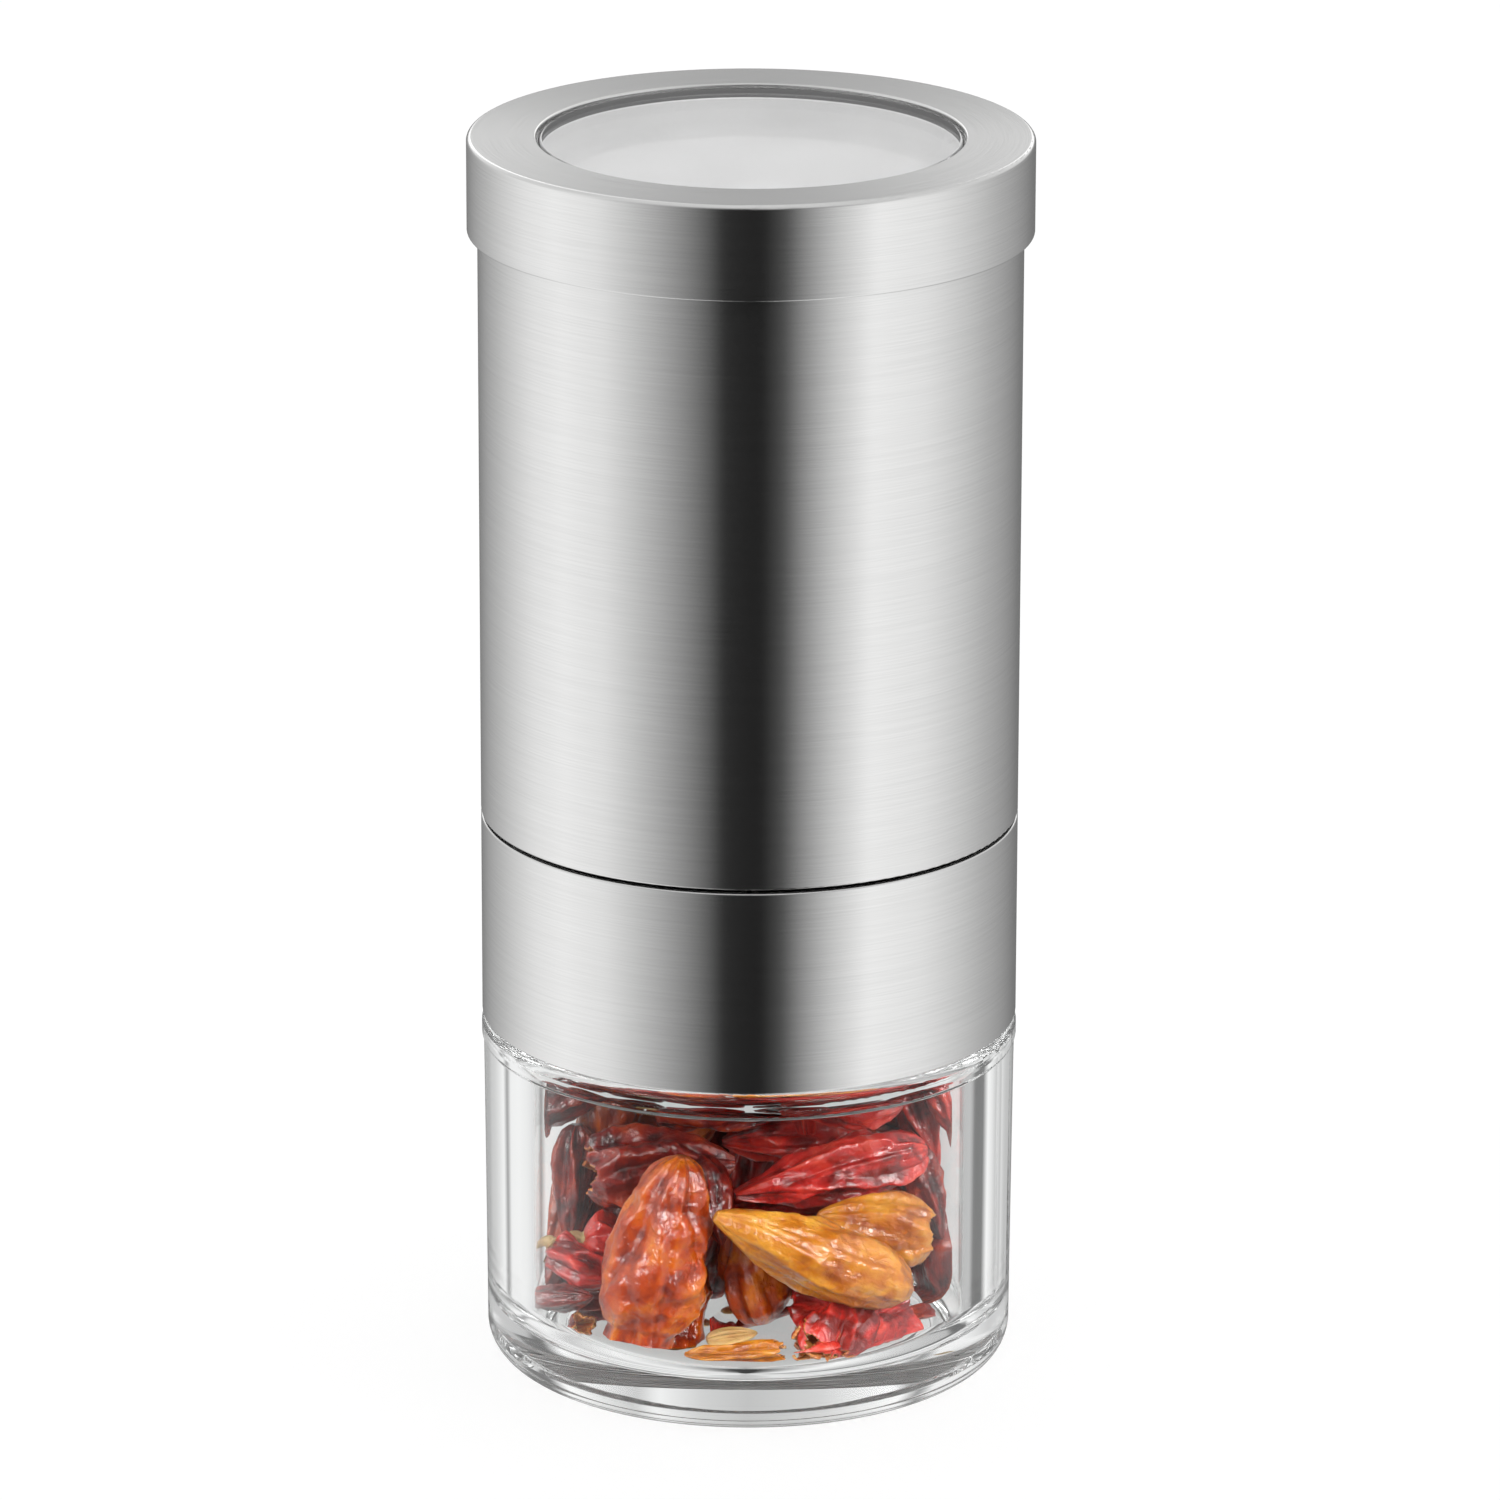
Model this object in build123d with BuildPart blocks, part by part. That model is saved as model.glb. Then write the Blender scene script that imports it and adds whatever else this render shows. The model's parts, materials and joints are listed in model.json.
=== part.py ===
import math
import os

from build123d import *

# Chili mill: it stands on its glass jar and closes with a cap.
# Millimetres, +Z up, origin at the middle of the jar's foot.

# Glass jar
jar_body_height = 39.9
jar_inset = 0.15
jar_draft = 0.3
jar_foot_fillet = 3.6
jar_wall = 5.4
jar_floor = 4.5
jar_inner_fillet = 4.0
shoulder_fillet = 1.2
bead_height = 2.6
bead_depth = 0.2
foot_recess_depth = 0.8
foot_ring_width = 8.6
foot_recess_fillet = 0.8
foot_ring_fillet = 0.6
bead_fillet = 0.3
neck_root_fillet = 0.5
neck_slope_fillet = 1.5
rim_fillet = 0.8
neck_wall = 3.2
neck_height = 11.6
neck_slope_height = 3.0

# Jar thread
jar_thread_lead = 4.0
jar_thread_turns = 1.25
jar_thread_depth = 1.2
jar_thread_root_width = 1.8
jar_thread_crest_width = 1.0
jar_thread_drop = 2.4
thread_clearance = 0.4
insert_thread_wall = 2.3
ridge_sink = 0.2

# Steel outside
sheet = 0.8
sheet_edge = 0.2
body_radius = 29.75
band_height = 23.0
sleeve_length = 74.6
cap_overhang = 1.15
cap_height = 10.45
cap_edge_fillet = 0.5
jar_band_gap = 0.3
seam_gap = 0.4
press_gap = 0.05

# Collar insert and its bridge
insert_recess = 0.5
seal_thickness = 1.7
seal_gap = 0.1
seal_inset = 0.4
seal_fillet = 0.5
bridge_thickness = 3.0
bridge_arm_width = 4.4
bridge_arm_count = 3
passage_step = 1.3
shaft_hub_radius = 6.0
shaft_hub_height = 7.0
swivel_chamber_wall = 2.9

# Swivel between collar and sleeve
washer_thickness = 0.9
washer_edge_gap = 0.3
swivel_play = 0.1
swivel_radial_play = 0.08
swivel_flange_gap = 0.2
swivel_wall = 3.0
swivel_passage_step = 0.5
ring_thickness = 1.6
ring_recess = 0.6

# Small countersunk screws
screw_radius = 0.7
screw_head_radius = 1.1
screw_length = 5.0
screw_gap = 0.05
slot_width = 0.4
ring_screw_count = 4
hub_screw_count = 4
outlet_screw_count = 3

# Sleeve liner
liner_wall = 3.3
liner_recess = 0.4
liner_plate = 3.0
liner_lip = 2.0
outlet_depth = 14.4
chamber_rib_count = 6
chamber_rib_depth = 1.4
chamber_rib_width = 2.4
chamber_rib_gap = 3.0
rib_root = 0.5
rib_start_angle = 30.0
seat_lip_depth = 2.2
seat_lip_thickness = 1.8
seat_step = 2.5

# Drive shaft and what is threaded on it
hex_flats = 6.0
hex_gap = 0.1
shaft_head_radius = 5.2
shaft_head_height = 2.4
shaft_head_fillet = 0.6
shaft_thread_lead = 1.2
shaft_thread_radius = 2.4
shaft_thread_depth = 0.45
shaft_thread_root_width = 0.7
shaft_thread_crest_width = 0.3
shaft_end_recess = 0.3
shaft_hex_recess = 1.5
shaft_thread_clearance = 0.25
spacer_radius = 5.0
lower_spacer_length = 16.0
upper_spacer_length = 4.4
cutter_thickness = 1.2
cutter_clearance = 2.2
cutter_width = 8.0
cutter_tip_width = 5.0
cutter_tip_height = 5.0
cutter_hub_radius = 6.5
clip_thickness = 0.8
clip_radius = 5.2
clip_depth = 0.5
clip_grip = 0.8
spring_seat_thickness = 1.0
spring_seat_radius = 6.2

# Adjusting spring
spring_radius = 4.9
spring_wire_radius = 0.4
spring_turns = 5
spring_length = 10.5
spring_end_gap = 0.05

# Grinder
stator_height = 16.0
stator_gap = 0.1
stator_entry_radius = 14.0
stator_exit_radius = 16.3
stator_tooth_depth = 0.9
stator_exit_depth = 0.3
stator_tooth_count = 36
stator_key_count = 3
stator_key_width = 3.0
stator_key_depth = 1.0
grind_gap = 0.4
rotor_sink = 0.5
rotor_fine_height = 10.0
rotor_coarse_height = 9.0
rotor_fine_entry_radius = 13.0
rotor_coarse_entry_radius = 10.6
rotor_fine_depth = 0.7
rotor_exit_depth = 0.4
rotor_hex_gap = 0.15
rotor_coarse_depth = 2.4
rotor_fine_count = 36
rotor_coarse_count = 6
rotor_twist = 16.0
rotor_spring_bore_gap = 0.5
rotor_spring_bore_depth = 7.0

# Outlet ring
outlet_ring_thickness = 3.0
outlet_overlap = 0.7
outlet_flare = 2.0
outlet_screw_edge = 0.15

# Adjusting knob
knob_rest_gap = 0.3
knob_radius = 8.0
knob_height = 5.6
knob_flute_count = 12
knob_flute_radius = 1.4
knob_flute_depth = 0.6
knob_edge = 0.5
knob_crown = 1.0
insert_wall = 1.5

# Cap inside
cap_rest_gap = 0.3
cap_flange = 0.7
plug_gap = 0.5
plug_rim = 0.8
plug_edge = 0.3
cup_depth = 4.0
cup_floor = 1.8
cup_fillet = 2.0
cup_step = 0.55
cap_ring_width = 7.55
window_gap = 0.2
window_flange = 1.5
window_flange_height = 2.5
window_sink = 0.35
window_edge_fillet = 0.45
gasket_thickness = 0.45
oring_radius = 1.0
oring_gap = 0.15
oring_drop = 5.4
oring_groove_gap = 0.1

# Chili pods: foot of the pod, tip of the pod and radius.
# The places are measured from the middle of the jar's inner floor.
pod_wall_gap = 0.15
pod_shape = [
    (0.0, 0.3),
    (0.04, 0.56),
    (0.1, 0.77),
    (0.2, 0.94),
    (0.33, 1.0),
    (0.48, 0.97),
    (0.64, 0.83),
    (0.8, 0.6),
    (0.92, 0.36),
    (1.0, 0.14),
]
chili_pods = [
    ("chili_upright", (-11.5, -15.0, 2.5), (-7.0, -14.0, 23.5), 6.1),
    ("chili_amber", (16.5, -14.0, 7.5), (-3.5, -18.0, 18.0), 4.9),
    ("chili_top_left", (-19.0, -4.5, 18.0), (-1.5, -3.5, 19.0), 5.2),
    ("chili_crimson", (20.0, 0.5, 19.0), (-1.5, -6.0, 16.0), 3.8),
    ("chili_half", (20.5, -6.0, 11.0), (7.5, -8.5, 14.5), 3.7),
    ("chili_leaf", (16.0, -8.0, 3.0), (6.5, -17.5, 2.5), 2.8),
    ("chili_stemmed", (-20.0, -6.0, 10.5), (-10.5, -3.0, 7.5), 3.5),
    ("chili_low_left", (-20.5, -5.0, 3.0), (-11.0, -2.0, 2.5), 2.6),
    ("chili_maroon", (-20.0, 4.5, 20.5), (-20.5, 2.5, 7.0), 3.1),
    ("chili_crumb", (-16.5, -11.0, 2.5), (-19.0, -9.0, 1.5), 1.8),
    ("chili_flake", (4.5, -18.5, 2.0), (-4.5, -18.5, 1.5), 1.6),
    ("chili_centre", (1.5, -9.5, 2.0), (-1.0, -7.0, 14.5), 3.9),
    ("chili_top_back", (12.0, 5.0, 19.0), (-3.0, 6.0, 18.0), 3.5),
    ("chili_top_rear", (-12.5, 5.0, 23.5), (2.0, 1.0, 22.5), 3.6),
    ("chili_top_right", (17.0, -3.0, 26.0), (4.0, 0.0, 24.5), 3.2),
    ("chili_core", (9.5, 1.5, 12.5), (-4.0, 1.5, 11.5), 2.8),
    ("chili_back_left", (-14.0, 9.5, 3.5), (-2.5, 19.0, 11.0), 5.0),
    ("chili_back_right", (14.0, 11.5, 3.0), (2.5, 19.0, 14.0), 5.0),
    ("chili_back_floor", (13.0, 1.5, 5.0), (-3.0, 4.0, 4.5), 4.4),
    ("chili_back_high_right", (18.0, 7.5, 11.0), (6.0, 13.5, 19.5), 4.0),
    ("chili_back_high_left", (-15.5, 11.5, 14.0), (-3.0, 12.5, 19.5), 4.3),
    ("chili_back_inner", (-11.0, 0.5, 6.0), (-6.0, 8.5, 12.0), 3.7),
    ("chili_rear", (-3.0, 20.0, 3.0), (7.0, 20.5, 2.5), 2.8),
]

os.makedirs("parts", exist_ok=True)

# Heights of the stack, from the table up
rim_height = jar_body_height + neck_height
bridge_low = rim_height + 2 * seal_gap + seal_thickness
bridge_high = bridge_low + bridge_thickness
band_low = jar_body_height + jar_band_gap
band_high = band_low + band_height
sleeve_low = band_high + seam_gap
sleeve_high = sleeve_low + sleeve_length
insert_low = band_low + insert_recess
ring_high = band_high - ring_recess
ring_low = ring_high - ring_thickness
flange_low = bridge_high + washer_thickness + swivel_play
flange_high = ring_low - swivel_play
liner_low = sleeve_low + liner_recess
liner_high = sleeve_high - liner_recess
pocket_high = liner_low + liner_plate
chamber_low = pocket_high + liner_lip
outlet_ring_high = sleeve_high - outlet_depth
stator_high = outlet_ring_high - outlet_ring_thickness
stator_low = stator_high - stator_height
seat_lip_low = stator_low - seat_lip_thickness
rotor_high = stator_high - rotor_sink
rotor_fine_low = rotor_high - rotor_fine_height
rotor_low = rotor_fine_low - rotor_coarse_height
spring_high = rotor_low + rotor_spring_bore_depth
spring_low = spring_high - spring_length
clip_high = spring_low - spring_seat_thickness
clip_low = clip_high - clip_thickness
upper_spacer_low = clip_low - upper_spacer_length
upper_cutter_low = upper_spacer_low - cutter_thickness
hub_high = bridge_low + shaft_hub_height
lower_cutter_low = hub_high + lower_spacer_length
middle_spacer_low = lower_cutter_low + cutter_thickness
middle_spacer_length = upper_cutter_low - middle_spacer_low
knob_low = rotor_high + knob_rest_gap
knob_high = knob_low + knob_height
shaft_high = knob_high - shaft_end_recess
hex_high = rotor_high - shaft_hex_recess
cap_flange_low = sleeve_high + cap_rest_gap
cap_flange_high = cap_flange_low + cap_flange
cap_high = cap_flange_high + sheet
cap_low = cap_high - cap_height
window_high = cap_high - window_sink
window_low = cap_flange_high - window_flange_height
gasket_low = window_low - gasket_thickness
cup_floor_high = gasket_low - cup_depth
cup_floor_low = cup_floor_high - cup_floor
plug_low = cup_floor_low - plug_rim

# Radii that pieces share
jar_radius = body_radius - jar_inset
cavity_radius = jar_radius - jar_wall
foot_recess_radius = jar_radius - foot_ring_width
steel_inner_radius = body_radius - sheet
insert_radius = steel_inner_radius - press_gap
insert_bore_radius = insert_radius - insert_thread_wall
neck_radius = insert_bore_radius - thread_clearance - jar_thread_depth
neck_inner_radius = neck_radius - neck_wall
passage_radius = neck_inner_radius - passage_step
swivel_chamber_radius = insert_radius - swivel_chamber_wall
swivel_inner_radius = passage_radius + swivel_passage_step
swivel_outer_radius = swivel_inner_radius + swivel_wall
liner_radius = steel_inner_radius - press_gap
chamber_radius = liner_radius - liner_wall
mouth_radius = chamber_radius + seat_step
seat_lip_radius = chamber_radius - seat_lip_depth
stator_radius = chamber_radius - stator_gap
ring_screw_place = (swivel_chamber_radius + insert_radius) / 2
hub_screw_place = (swivel_inner_radius + swivel_outer_radius) / 2
outlet_ring_radius = mouth_radius - stator_gap
outlet_screw_place = outlet_ring_radius - outlet_screw_edge - screw_gap - screw_head_radius
hex_radius = hex_flats / 2 / math.cos(math.pi / 6)
hex_hole_radius = hex_radius + hex_gap
cutter_reach = chamber_radius - chamber_rib_depth - cutter_clearance
cap_radius = body_radius + cap_overhang
cap_inner_radius = cap_radius - sheet
window_opening_radius = cap_radius - cap_ring_width
cup_radius = window_opening_radius - cup_step
plug_radius = mouth_radius - plug_gap
window_radius = window_opening_radius - window_gap
window_flange_radius = window_radius + window_flange
window_seat_radius = window_flange_radius + press_gap
rotor_exit_radius = stator_exit_radius - grind_gap
rotor_hex_radius = hex_radius + rotor_hex_gap
clip_groove_radius = hex_flats / 2 - clip_depth
outlet_radius = stator_exit_radius + stator_exit_depth + outlet_overlap
knob_bore_radius = shaft_thread_radius + shaft_thread_depth + shaft_thread_clearance
insert_outer_radius = knob_bore_radius + insert_wall
oring_place = mouth_radius - oring_gap - oring_radius
groove_radius = oring_place - oring_radius - oring_groove_gap
groove_high = cap_flange_low - oring_drop
groove_low = groove_high - 2 * (oring_radius + oring_groove_gap)

# Threads: the ridges of each pair lie in the gaps of the other, so the flanks never meet
jar_thread_height = jar_thread_lead * jar_thread_turns
jar_thread_low = rim_height - jar_thread_drop - jar_thread_height
insert_thread_low = jar_thread_low - jar_thread_root_width
shaft_thread_low = hex_high + shaft_thread_root_width
shaft_thread_height = shaft_high - shaft_thread_low - shaft_thread_root_width
knob_thread_rise = knob_low + shaft_thread_root_width - shaft_thread_low
knob_thread_steps = round(knob_thread_rise / shaft_thread_lead - 0.5)
knob_thread_low = shaft_thread_low + (knob_thread_steps + 0.5) * shaft_thread_lead
knob_thread_height = knob_height - knob_crown - 2 * shaft_thread_root_width


def star(count, tip, root, turn=0.0):
    """Corner points of a toothed outline, tip and root in turn."""
    points = []
    for step in range(2 * count):
        angle = math.pi * step / count + math.radians(turn)
        radius = root if step % 2 else tip
        points.append((radius * math.cos(angle), radius * math.sin(angle)))
    return points


def ridge(root_radius, crest_radius, root_width, crest_width, height):
    """Corner points of a thread ridge, its root a little inside its carrier."""
    sink = ridge_sink if crest_radius > root_radius else -ridge_sink
    return [
        (root_radius - sink, height - root_width / 2),
        (root_radius - sink, height + root_width / 2),
        (root_radius, height + root_width / 2),
        (crest_radius, height + crest_width / 2),
        (crest_radius, height - crest_width / 2),
        (root_radius, height - root_width / 2),
    ]


# Glass jar
jar_foot_radius = jar_radius - jar_draft
bead_radius = jar_radius + bead_depth
bead_low = jar_body_height - bead_height
slope_low = jar_body_height - neck_slope_height

with BuildPart() as glass_jar:
    with BuildSketch(Plane.XZ):
        with BuildLine():
            FilletPolyline(
                (0, foot_recess_depth),
                (foot_recess_radius - 2 * foot_recess_depth, foot_recess_depth),
                (foot_recess_radius, 0),
                (jar_foot_radius, 0),
                (jar_radius, bead_low - bead_depth),
                (bead_radius, bead_low + bead_depth),
                (bead_radius, jar_body_height),
                (neck_radius, jar_body_height),
                (neck_radius, rim_height),
                (neck_inner_radius, rim_height),
                (neck_inner_radius, jar_body_height),
                (cavity_radius, slope_low),
                (cavity_radius, jar_floor),
                (0, jar_floor),
                radius=[
                    0,
                    foot_recess_fillet,
                    foot_ring_fillet,
                    jar_foot_fillet,
                    bead_fillet,
                    bead_fillet,
                    shoulder_fillet,
                    neck_root_fillet,
                    rim_fillet,
                    rim_fillet,
                    neck_slope_fillet,
                    neck_slope_fillet,
                    jar_inner_fillet,
                    0,
                ],
                close=True,
            )
        make_face()
    revolve(axis=Axis.Z)
    with BuildLine() as jar_thread_path:
        Helix(jar_thread_lead, jar_thread_height, neck_radius, center=(0, 0, jar_thread_low))
    with BuildSketch(Plane.XZ):
        with BuildLine():
            Polyline(
                ridge(
                    neck_radius,
                    neck_radius + jar_thread_depth,
                    jar_thread_root_width,
                    jar_thread_crest_width,
                    jar_thread_low,
                ),
                close=True,
            )
        make_face()
    sweep(path=jar_thread_path.line, is_frenet=True)
glass_jar.part.label = "glass_jar"
export_step(glass_jar.part, "parts/glass_jar.step")

# Jar seal
with BuildPart() as jar_seal:
    with BuildSketch(Plane.XY.offset(rim_height + seal_gap)):
        Circle(neck_radius - seal_inset)
        Circle(neck_inner_radius + seal_inset, mode=Mode.SUBTRACT)
    extrude(amount=seal_thickness)
    fillet(jar_seal.edges(), seal_fillet)
jar_seal.part.label = "jar_seal"
export_step(jar_seal.part, "parts/jar_seal.step")

# Steel collar band
with BuildPart() as collar_band:
    with BuildSketch(Plane.XZ):
        with BuildLine():
            FilletPolyline(
                (steel_inner_radius, band_low),
                (body_radius, band_low),
                (body_radius, band_high),
                (steel_inner_radius, band_high),
                radius=sheet_edge,
                close=True,
            )
        make_face()
    revolve(axis=Axis.Z)
collar_band.part.label = "collar_band"
export_step(collar_band.part, "parts/collar_band.step")

# Collar insert: jar thread below, bridge with the shaft hub in the middle, swivel chamber above
with BuildPart() as collar_insert:
    with BuildSketch(Plane.XZ):
        with BuildLine():
            Polyline(
                (insert_bore_radius, insert_low),
                (insert_radius, insert_low),
                (insert_radius, ring_low),
                (swivel_chamber_radius, ring_low),
                (swivel_chamber_radius, bridge_high),
                (passage_radius, bridge_high),
                (passage_radius, bridge_low),
                (insert_bore_radius, bridge_low),
                close=True,
            )
        make_face()
    revolve(axis=Axis.Z)
    with BuildSketch(Plane.XY.offset(bridge_low)):
        with PolarLocations(0, bridge_arm_count):
            Rectangle(passage_radius + swivel_passage_step, bridge_arm_width, align=(Align.MIN, Align.CENTER))
        Circle(shaft_hub_radius)
    extrude(amount=bridge_thickness)
    with BuildSketch(Plane.XY.offset(bridge_high)):
        Circle(shaft_hub_radius)
    extrude(amount=hub_high - bridge_high)
    with BuildSketch(Plane.XY.offset(bridge_low)):
        RegularPolygon(hex_hole_radius, 6)
    extrude(amount=shaft_hub_height, mode=Mode.SUBTRACT)
    with BuildSketch(Plane.XY.offset(ring_low)):
        with PolarLocations(ring_screw_place, ring_screw_count):
            Circle(screw_radius + screw_gap)
    extrude(amount=-screw_length, mode=Mode.SUBTRACT)
    with BuildLine() as insert_thread_path:
        Helix(jar_thread_lead, jar_thread_height, insert_bore_radius, center=(0, 0, insert_thread_low))
    with BuildSketch(Plane.XZ):
        with BuildLine():
            Polyline(
                ridge(
                    insert_bore_radius,
                    insert_bore_radius - jar_thread_depth,
                    jar_thread_root_width,
                    jar_thread_crest_width,
                    insert_thread_low,
                ),
                close=True,
            )
        make_face()
    sweep(path=insert_thread_path.line, is_frenet=True)
collar_insert.part.label = "collar_insert"
export_step(collar_insert.part, "parts/collar_insert.step")

# Thrust washer under the swivel flange
with BuildPart() as thrust_washer:
    with BuildSketch(Plane.XY.offset(bridge_high)):
        Circle(swivel_chamber_radius - washer_edge_gap)
        Circle(swivel_inner_radius, mode=Mode.SUBTRACT)
    extrude(amount=washer_thickness)
thrust_washer.part.label = "thrust_washer"
export_step(thrust_washer.part, "parts/thrust_washer.step")

# Retaining ring that holds the swivel flange down
with BuildPart() as retaining_ring:
    with BuildSketch(Plane.XY.offset(ring_low)):
        Circle(insert_radius)
        Circle(swivel_outer_radius + swivel_radial_play, mode=Mode.SUBTRACT)
    extrude(amount=ring_thickness)
    with Locations((0, 0, ring_high)):
        with PolarLocations(ring_screw_place, ring_screw_count):
            CounterSinkHole(screw_radius + screw_gap, screw_head_radius + screw_gap, counter_sink_angle=90)
retaining_ring.part.label = "retaining_ring"
export_step(retaining_ring.part, "parts/retaining_ring.step")

# Swivel hub, screwed up into the sleeve liner
with BuildPart() as swivel_hub:
    with BuildSketch(Plane.XZ):
        with BuildLine():
            Polyline(
                (swivel_inner_radius, flange_low),
                (swivel_chamber_radius - swivel_flange_gap, flange_low),
                (swivel_chamber_radius - swivel_flange_gap, flange_high),
                (swivel_outer_radius, flange_high),
                (swivel_outer_radius, pocket_high),
                (swivel_inner_radius, pocket_high),
                close=True,
            )
        make_face()
    revolve(axis=Axis.Z)
    with BuildSketch(Plane.XY.offset(pocket_high)):
        with PolarLocations(hub_screw_place, hub_screw_count):
            Circle(screw_radius + screw_gap)
    extrude(amount=-screw_length, mode=Mode.SUBTRACT)
swivel_hub.part.label = "swivel_hub"
export_step(swivel_hub.part, "parts/swivel_hub.step")

# Steel grip sleeve
with BuildPart() as grip_sleeve:
    with BuildSketch(Plane.XZ):
        with BuildLine():
            FilletPolyline(
                (steel_inner_radius, sleeve_low),
                (body_radius, sleeve_low),
                (body_radius, sleeve_high),
                (steel_inner_radius, sleeve_high),
                radius=sheet_edge,
                close=True,
            )
        make_face()
    revolve(axis=Axis.Z)
grip_sleeve.part.label = "grip_sleeve"
export_step(grip_sleeve.part, "parts/grip_sleeve.step")

# Sleeve liner: hub pocket, cutting chamber with ribs, grinder seat and outlet mouth
with BuildPart() as sleeve_liner:
    with BuildSketch(Plane.XZ):
        with BuildLine():
            Polyline(
                (swivel_outer_radius + press_gap, liner_low),
                (liner_radius, liner_low),
                (liner_radius, liner_high),
                (mouth_radius, liner_high),
                (mouth_radius, stator_high),
                (chamber_radius, stator_high),
                (chamber_radius, stator_low),
                (seat_lip_radius, stator_low),
                (seat_lip_radius, seat_lip_low),
                (chamber_radius, seat_lip_low),
                (chamber_radius, chamber_low),
                (swivel_inner_radius, chamber_low),
                (swivel_inner_radius, pocket_high),
                (swivel_outer_radius + press_gap, pocket_high),
                close=True,
            )
        make_face()
    revolve(axis=Axis.Z)
    with BuildSketch(Plane.XY.offset(chamber_low + chamber_rib_gap)):
        with PolarLocations(chamber_radius - chamber_rib_depth, chamber_rib_count, start_angle=rib_start_angle):
            Rectangle(chamber_rib_depth + rib_root, chamber_rib_width, align=(Align.MIN, Align.CENTER))
    extrude(amount=seat_lip_low - chamber_low - 2 * chamber_rib_gap)
    with BuildSketch(Plane.XY.offset(stator_low)):
        with PolarLocations(chamber_radius - stator_key_depth, stator_key_count, start_angle=rib_start_angle):
            Rectangle(stator_key_depth + rib_root, stator_key_width, align=(Align.MIN, Align.CENTER))
    extrude(amount=stator_height)
    with Locations((0, 0, chamber_low)):
        with PolarLocations(hub_screw_place, hub_screw_count):
            CounterSinkHole(
                screw_radius + screw_gap,
                screw_head_radius + screw_gap,
                depth=2 * liner_lip,
                counter_sink_angle=90,
            )
    with BuildSketch(Plane.XY.offset(stator_high)):
        with PolarLocations(outlet_screw_place, outlet_screw_count):
            Circle(screw_radius + screw_gap)
    extrude(amount=-screw_length, mode=Mode.SUBTRACT)
sleeve_liner.part.label = "sleeve_liner"
export_step(sleeve_liner.part, "parts/sleeve_liner.step")

# Ceramic stator: conical toothed bore, three key slots outside
with BuildPart() as grinder_stator:
    with BuildSketch(Plane.XY.offset(stator_low)):
        Circle(stator_radius)
        with PolarLocations(stator_radius, stator_key_count, start_angle=rib_start_angle):
            Rectangle(
                2 * (stator_key_depth + stator_gap),
                stator_key_width + 2 * stator_gap,
                mode=Mode.SUBTRACT,
            )
    extrude(amount=stator_height)
    with BuildSketch(Plane.XY.offset(stator_low)):
        with BuildLine():
            Polyline(
                star(stator_tooth_count, stator_entry_radius + stator_tooth_depth, stator_entry_radius),
                close=True,
            )
        make_face()
    with BuildSketch(Plane.XY.offset(stator_high)):
        with BuildLine():
            Polyline(
                star(stator_tooth_count, stator_exit_radius + stator_exit_depth, stator_exit_radius),
                close=True,
            )
        make_face()
    loft(ruled=True, mode=Mode.SUBTRACT)
grinder_stator.part.label = "grinder_stator"
export_step(grinder_stator.part, "parts/grinder_stator.step")

# Outlet ring that clamps the stator
with BuildPart() as outlet_ring:
    with BuildSketch(Plane.XZ):
        with BuildLine():
            Polyline(
                (outlet_radius, stator_high),
                (outlet_ring_radius, stator_high),
                (outlet_ring_radius, outlet_ring_high),
                (outlet_radius + outlet_flare, outlet_ring_high),
                close=True,
            )
        make_face()
    revolve(axis=Axis.Z)
    with Locations((0, 0, outlet_ring_high)):
        with PolarLocations(outlet_screw_place, outlet_screw_count):
            CounterSinkHole(screw_radius + screw_gap, screw_head_radius + screw_gap, counter_sink_angle=90)
outlet_ring.part.label = "outlet_ring"
export_step(outlet_ring.part, "parts/outlet_ring.step")

# Countersunk screws with a driver slot, one node for each ring of them
screw_sets = [
    ("ring_screws", ring_screw_place, ring_screw_count, ring_high),
    ("hub_screws", hub_screw_place, hub_screw_count, chamber_low),
    ("outlet_screws", outlet_screw_place, outlet_screw_count, outlet_ring_high),
]
top_align = (Align.CENTER, Align.CENTER, Align.MAX)
for set_name, place, count, top in screw_sets:
    with BuildPart() as screws:
        with Locations((0, 0, top)):
            with PolarLocations(place, count):
                Cylinder(screw_radius, screw_length, align=top_align)
                Cone(screw_radius, screw_head_radius, screw_head_radius - screw_radius, align=top_align)
                Box(2 * screw_head_radius, slot_width, slot_width, align=top_align, mode=Mode.SUBTRACT)
    screws.part.label = set_name
    export_step(screws.part, f"parts/{set_name}.step")

# Hexagonal drive shaft with a flat head and a threaded end
with BuildPart() as drive_shaft:
    with BuildSketch(Plane.XY.offset(bridge_low - shaft_head_height)):
        Circle(shaft_head_radius)
    extrude(amount=shaft_head_height)
    fillet(drive_shaft.edges().group_by(Axis.Z)[0], shaft_head_fillet)
    with BuildSketch(Plane.XY.offset(bridge_low)):
        RegularPolygon(hex_radius, 6)
    extrude(amount=hex_high - bridge_low)
    with BuildSketch(Plane.XY.offset(hex_high)):
        Circle(shaft_thread_radius)
    extrude(amount=shaft_high - hex_high)
    with BuildSketch(Plane.XY.offset(clip_low)):
        Circle(hex_radius + hex_gap)
        Circle(clip_groove_radius, mode=Mode.SUBTRACT)
    extrude(amount=clip_thickness, mode=Mode.SUBTRACT)
    with BuildLine() as shaft_thread_path:
        Helix(shaft_thread_lead, shaft_thread_height, shaft_thread_radius, center=(0, 0, shaft_thread_low))
    with BuildSketch(Plane.XZ):
        with BuildLine():
            Polyline(
                ridge(
                    shaft_thread_radius,
                    shaft_thread_radius + shaft_thread_depth,
                    shaft_thread_root_width,
                    shaft_thread_crest_width,
                    shaft_thread_low,
                ),
                close=True,
            )
        make_face()
    sweep(path=shaft_thread_path.line, is_frenet=True)
drive_shaft.part.label = "drive_shaft"
export_step(drive_shaft.part, "parts/drive_shaft.step")

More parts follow.
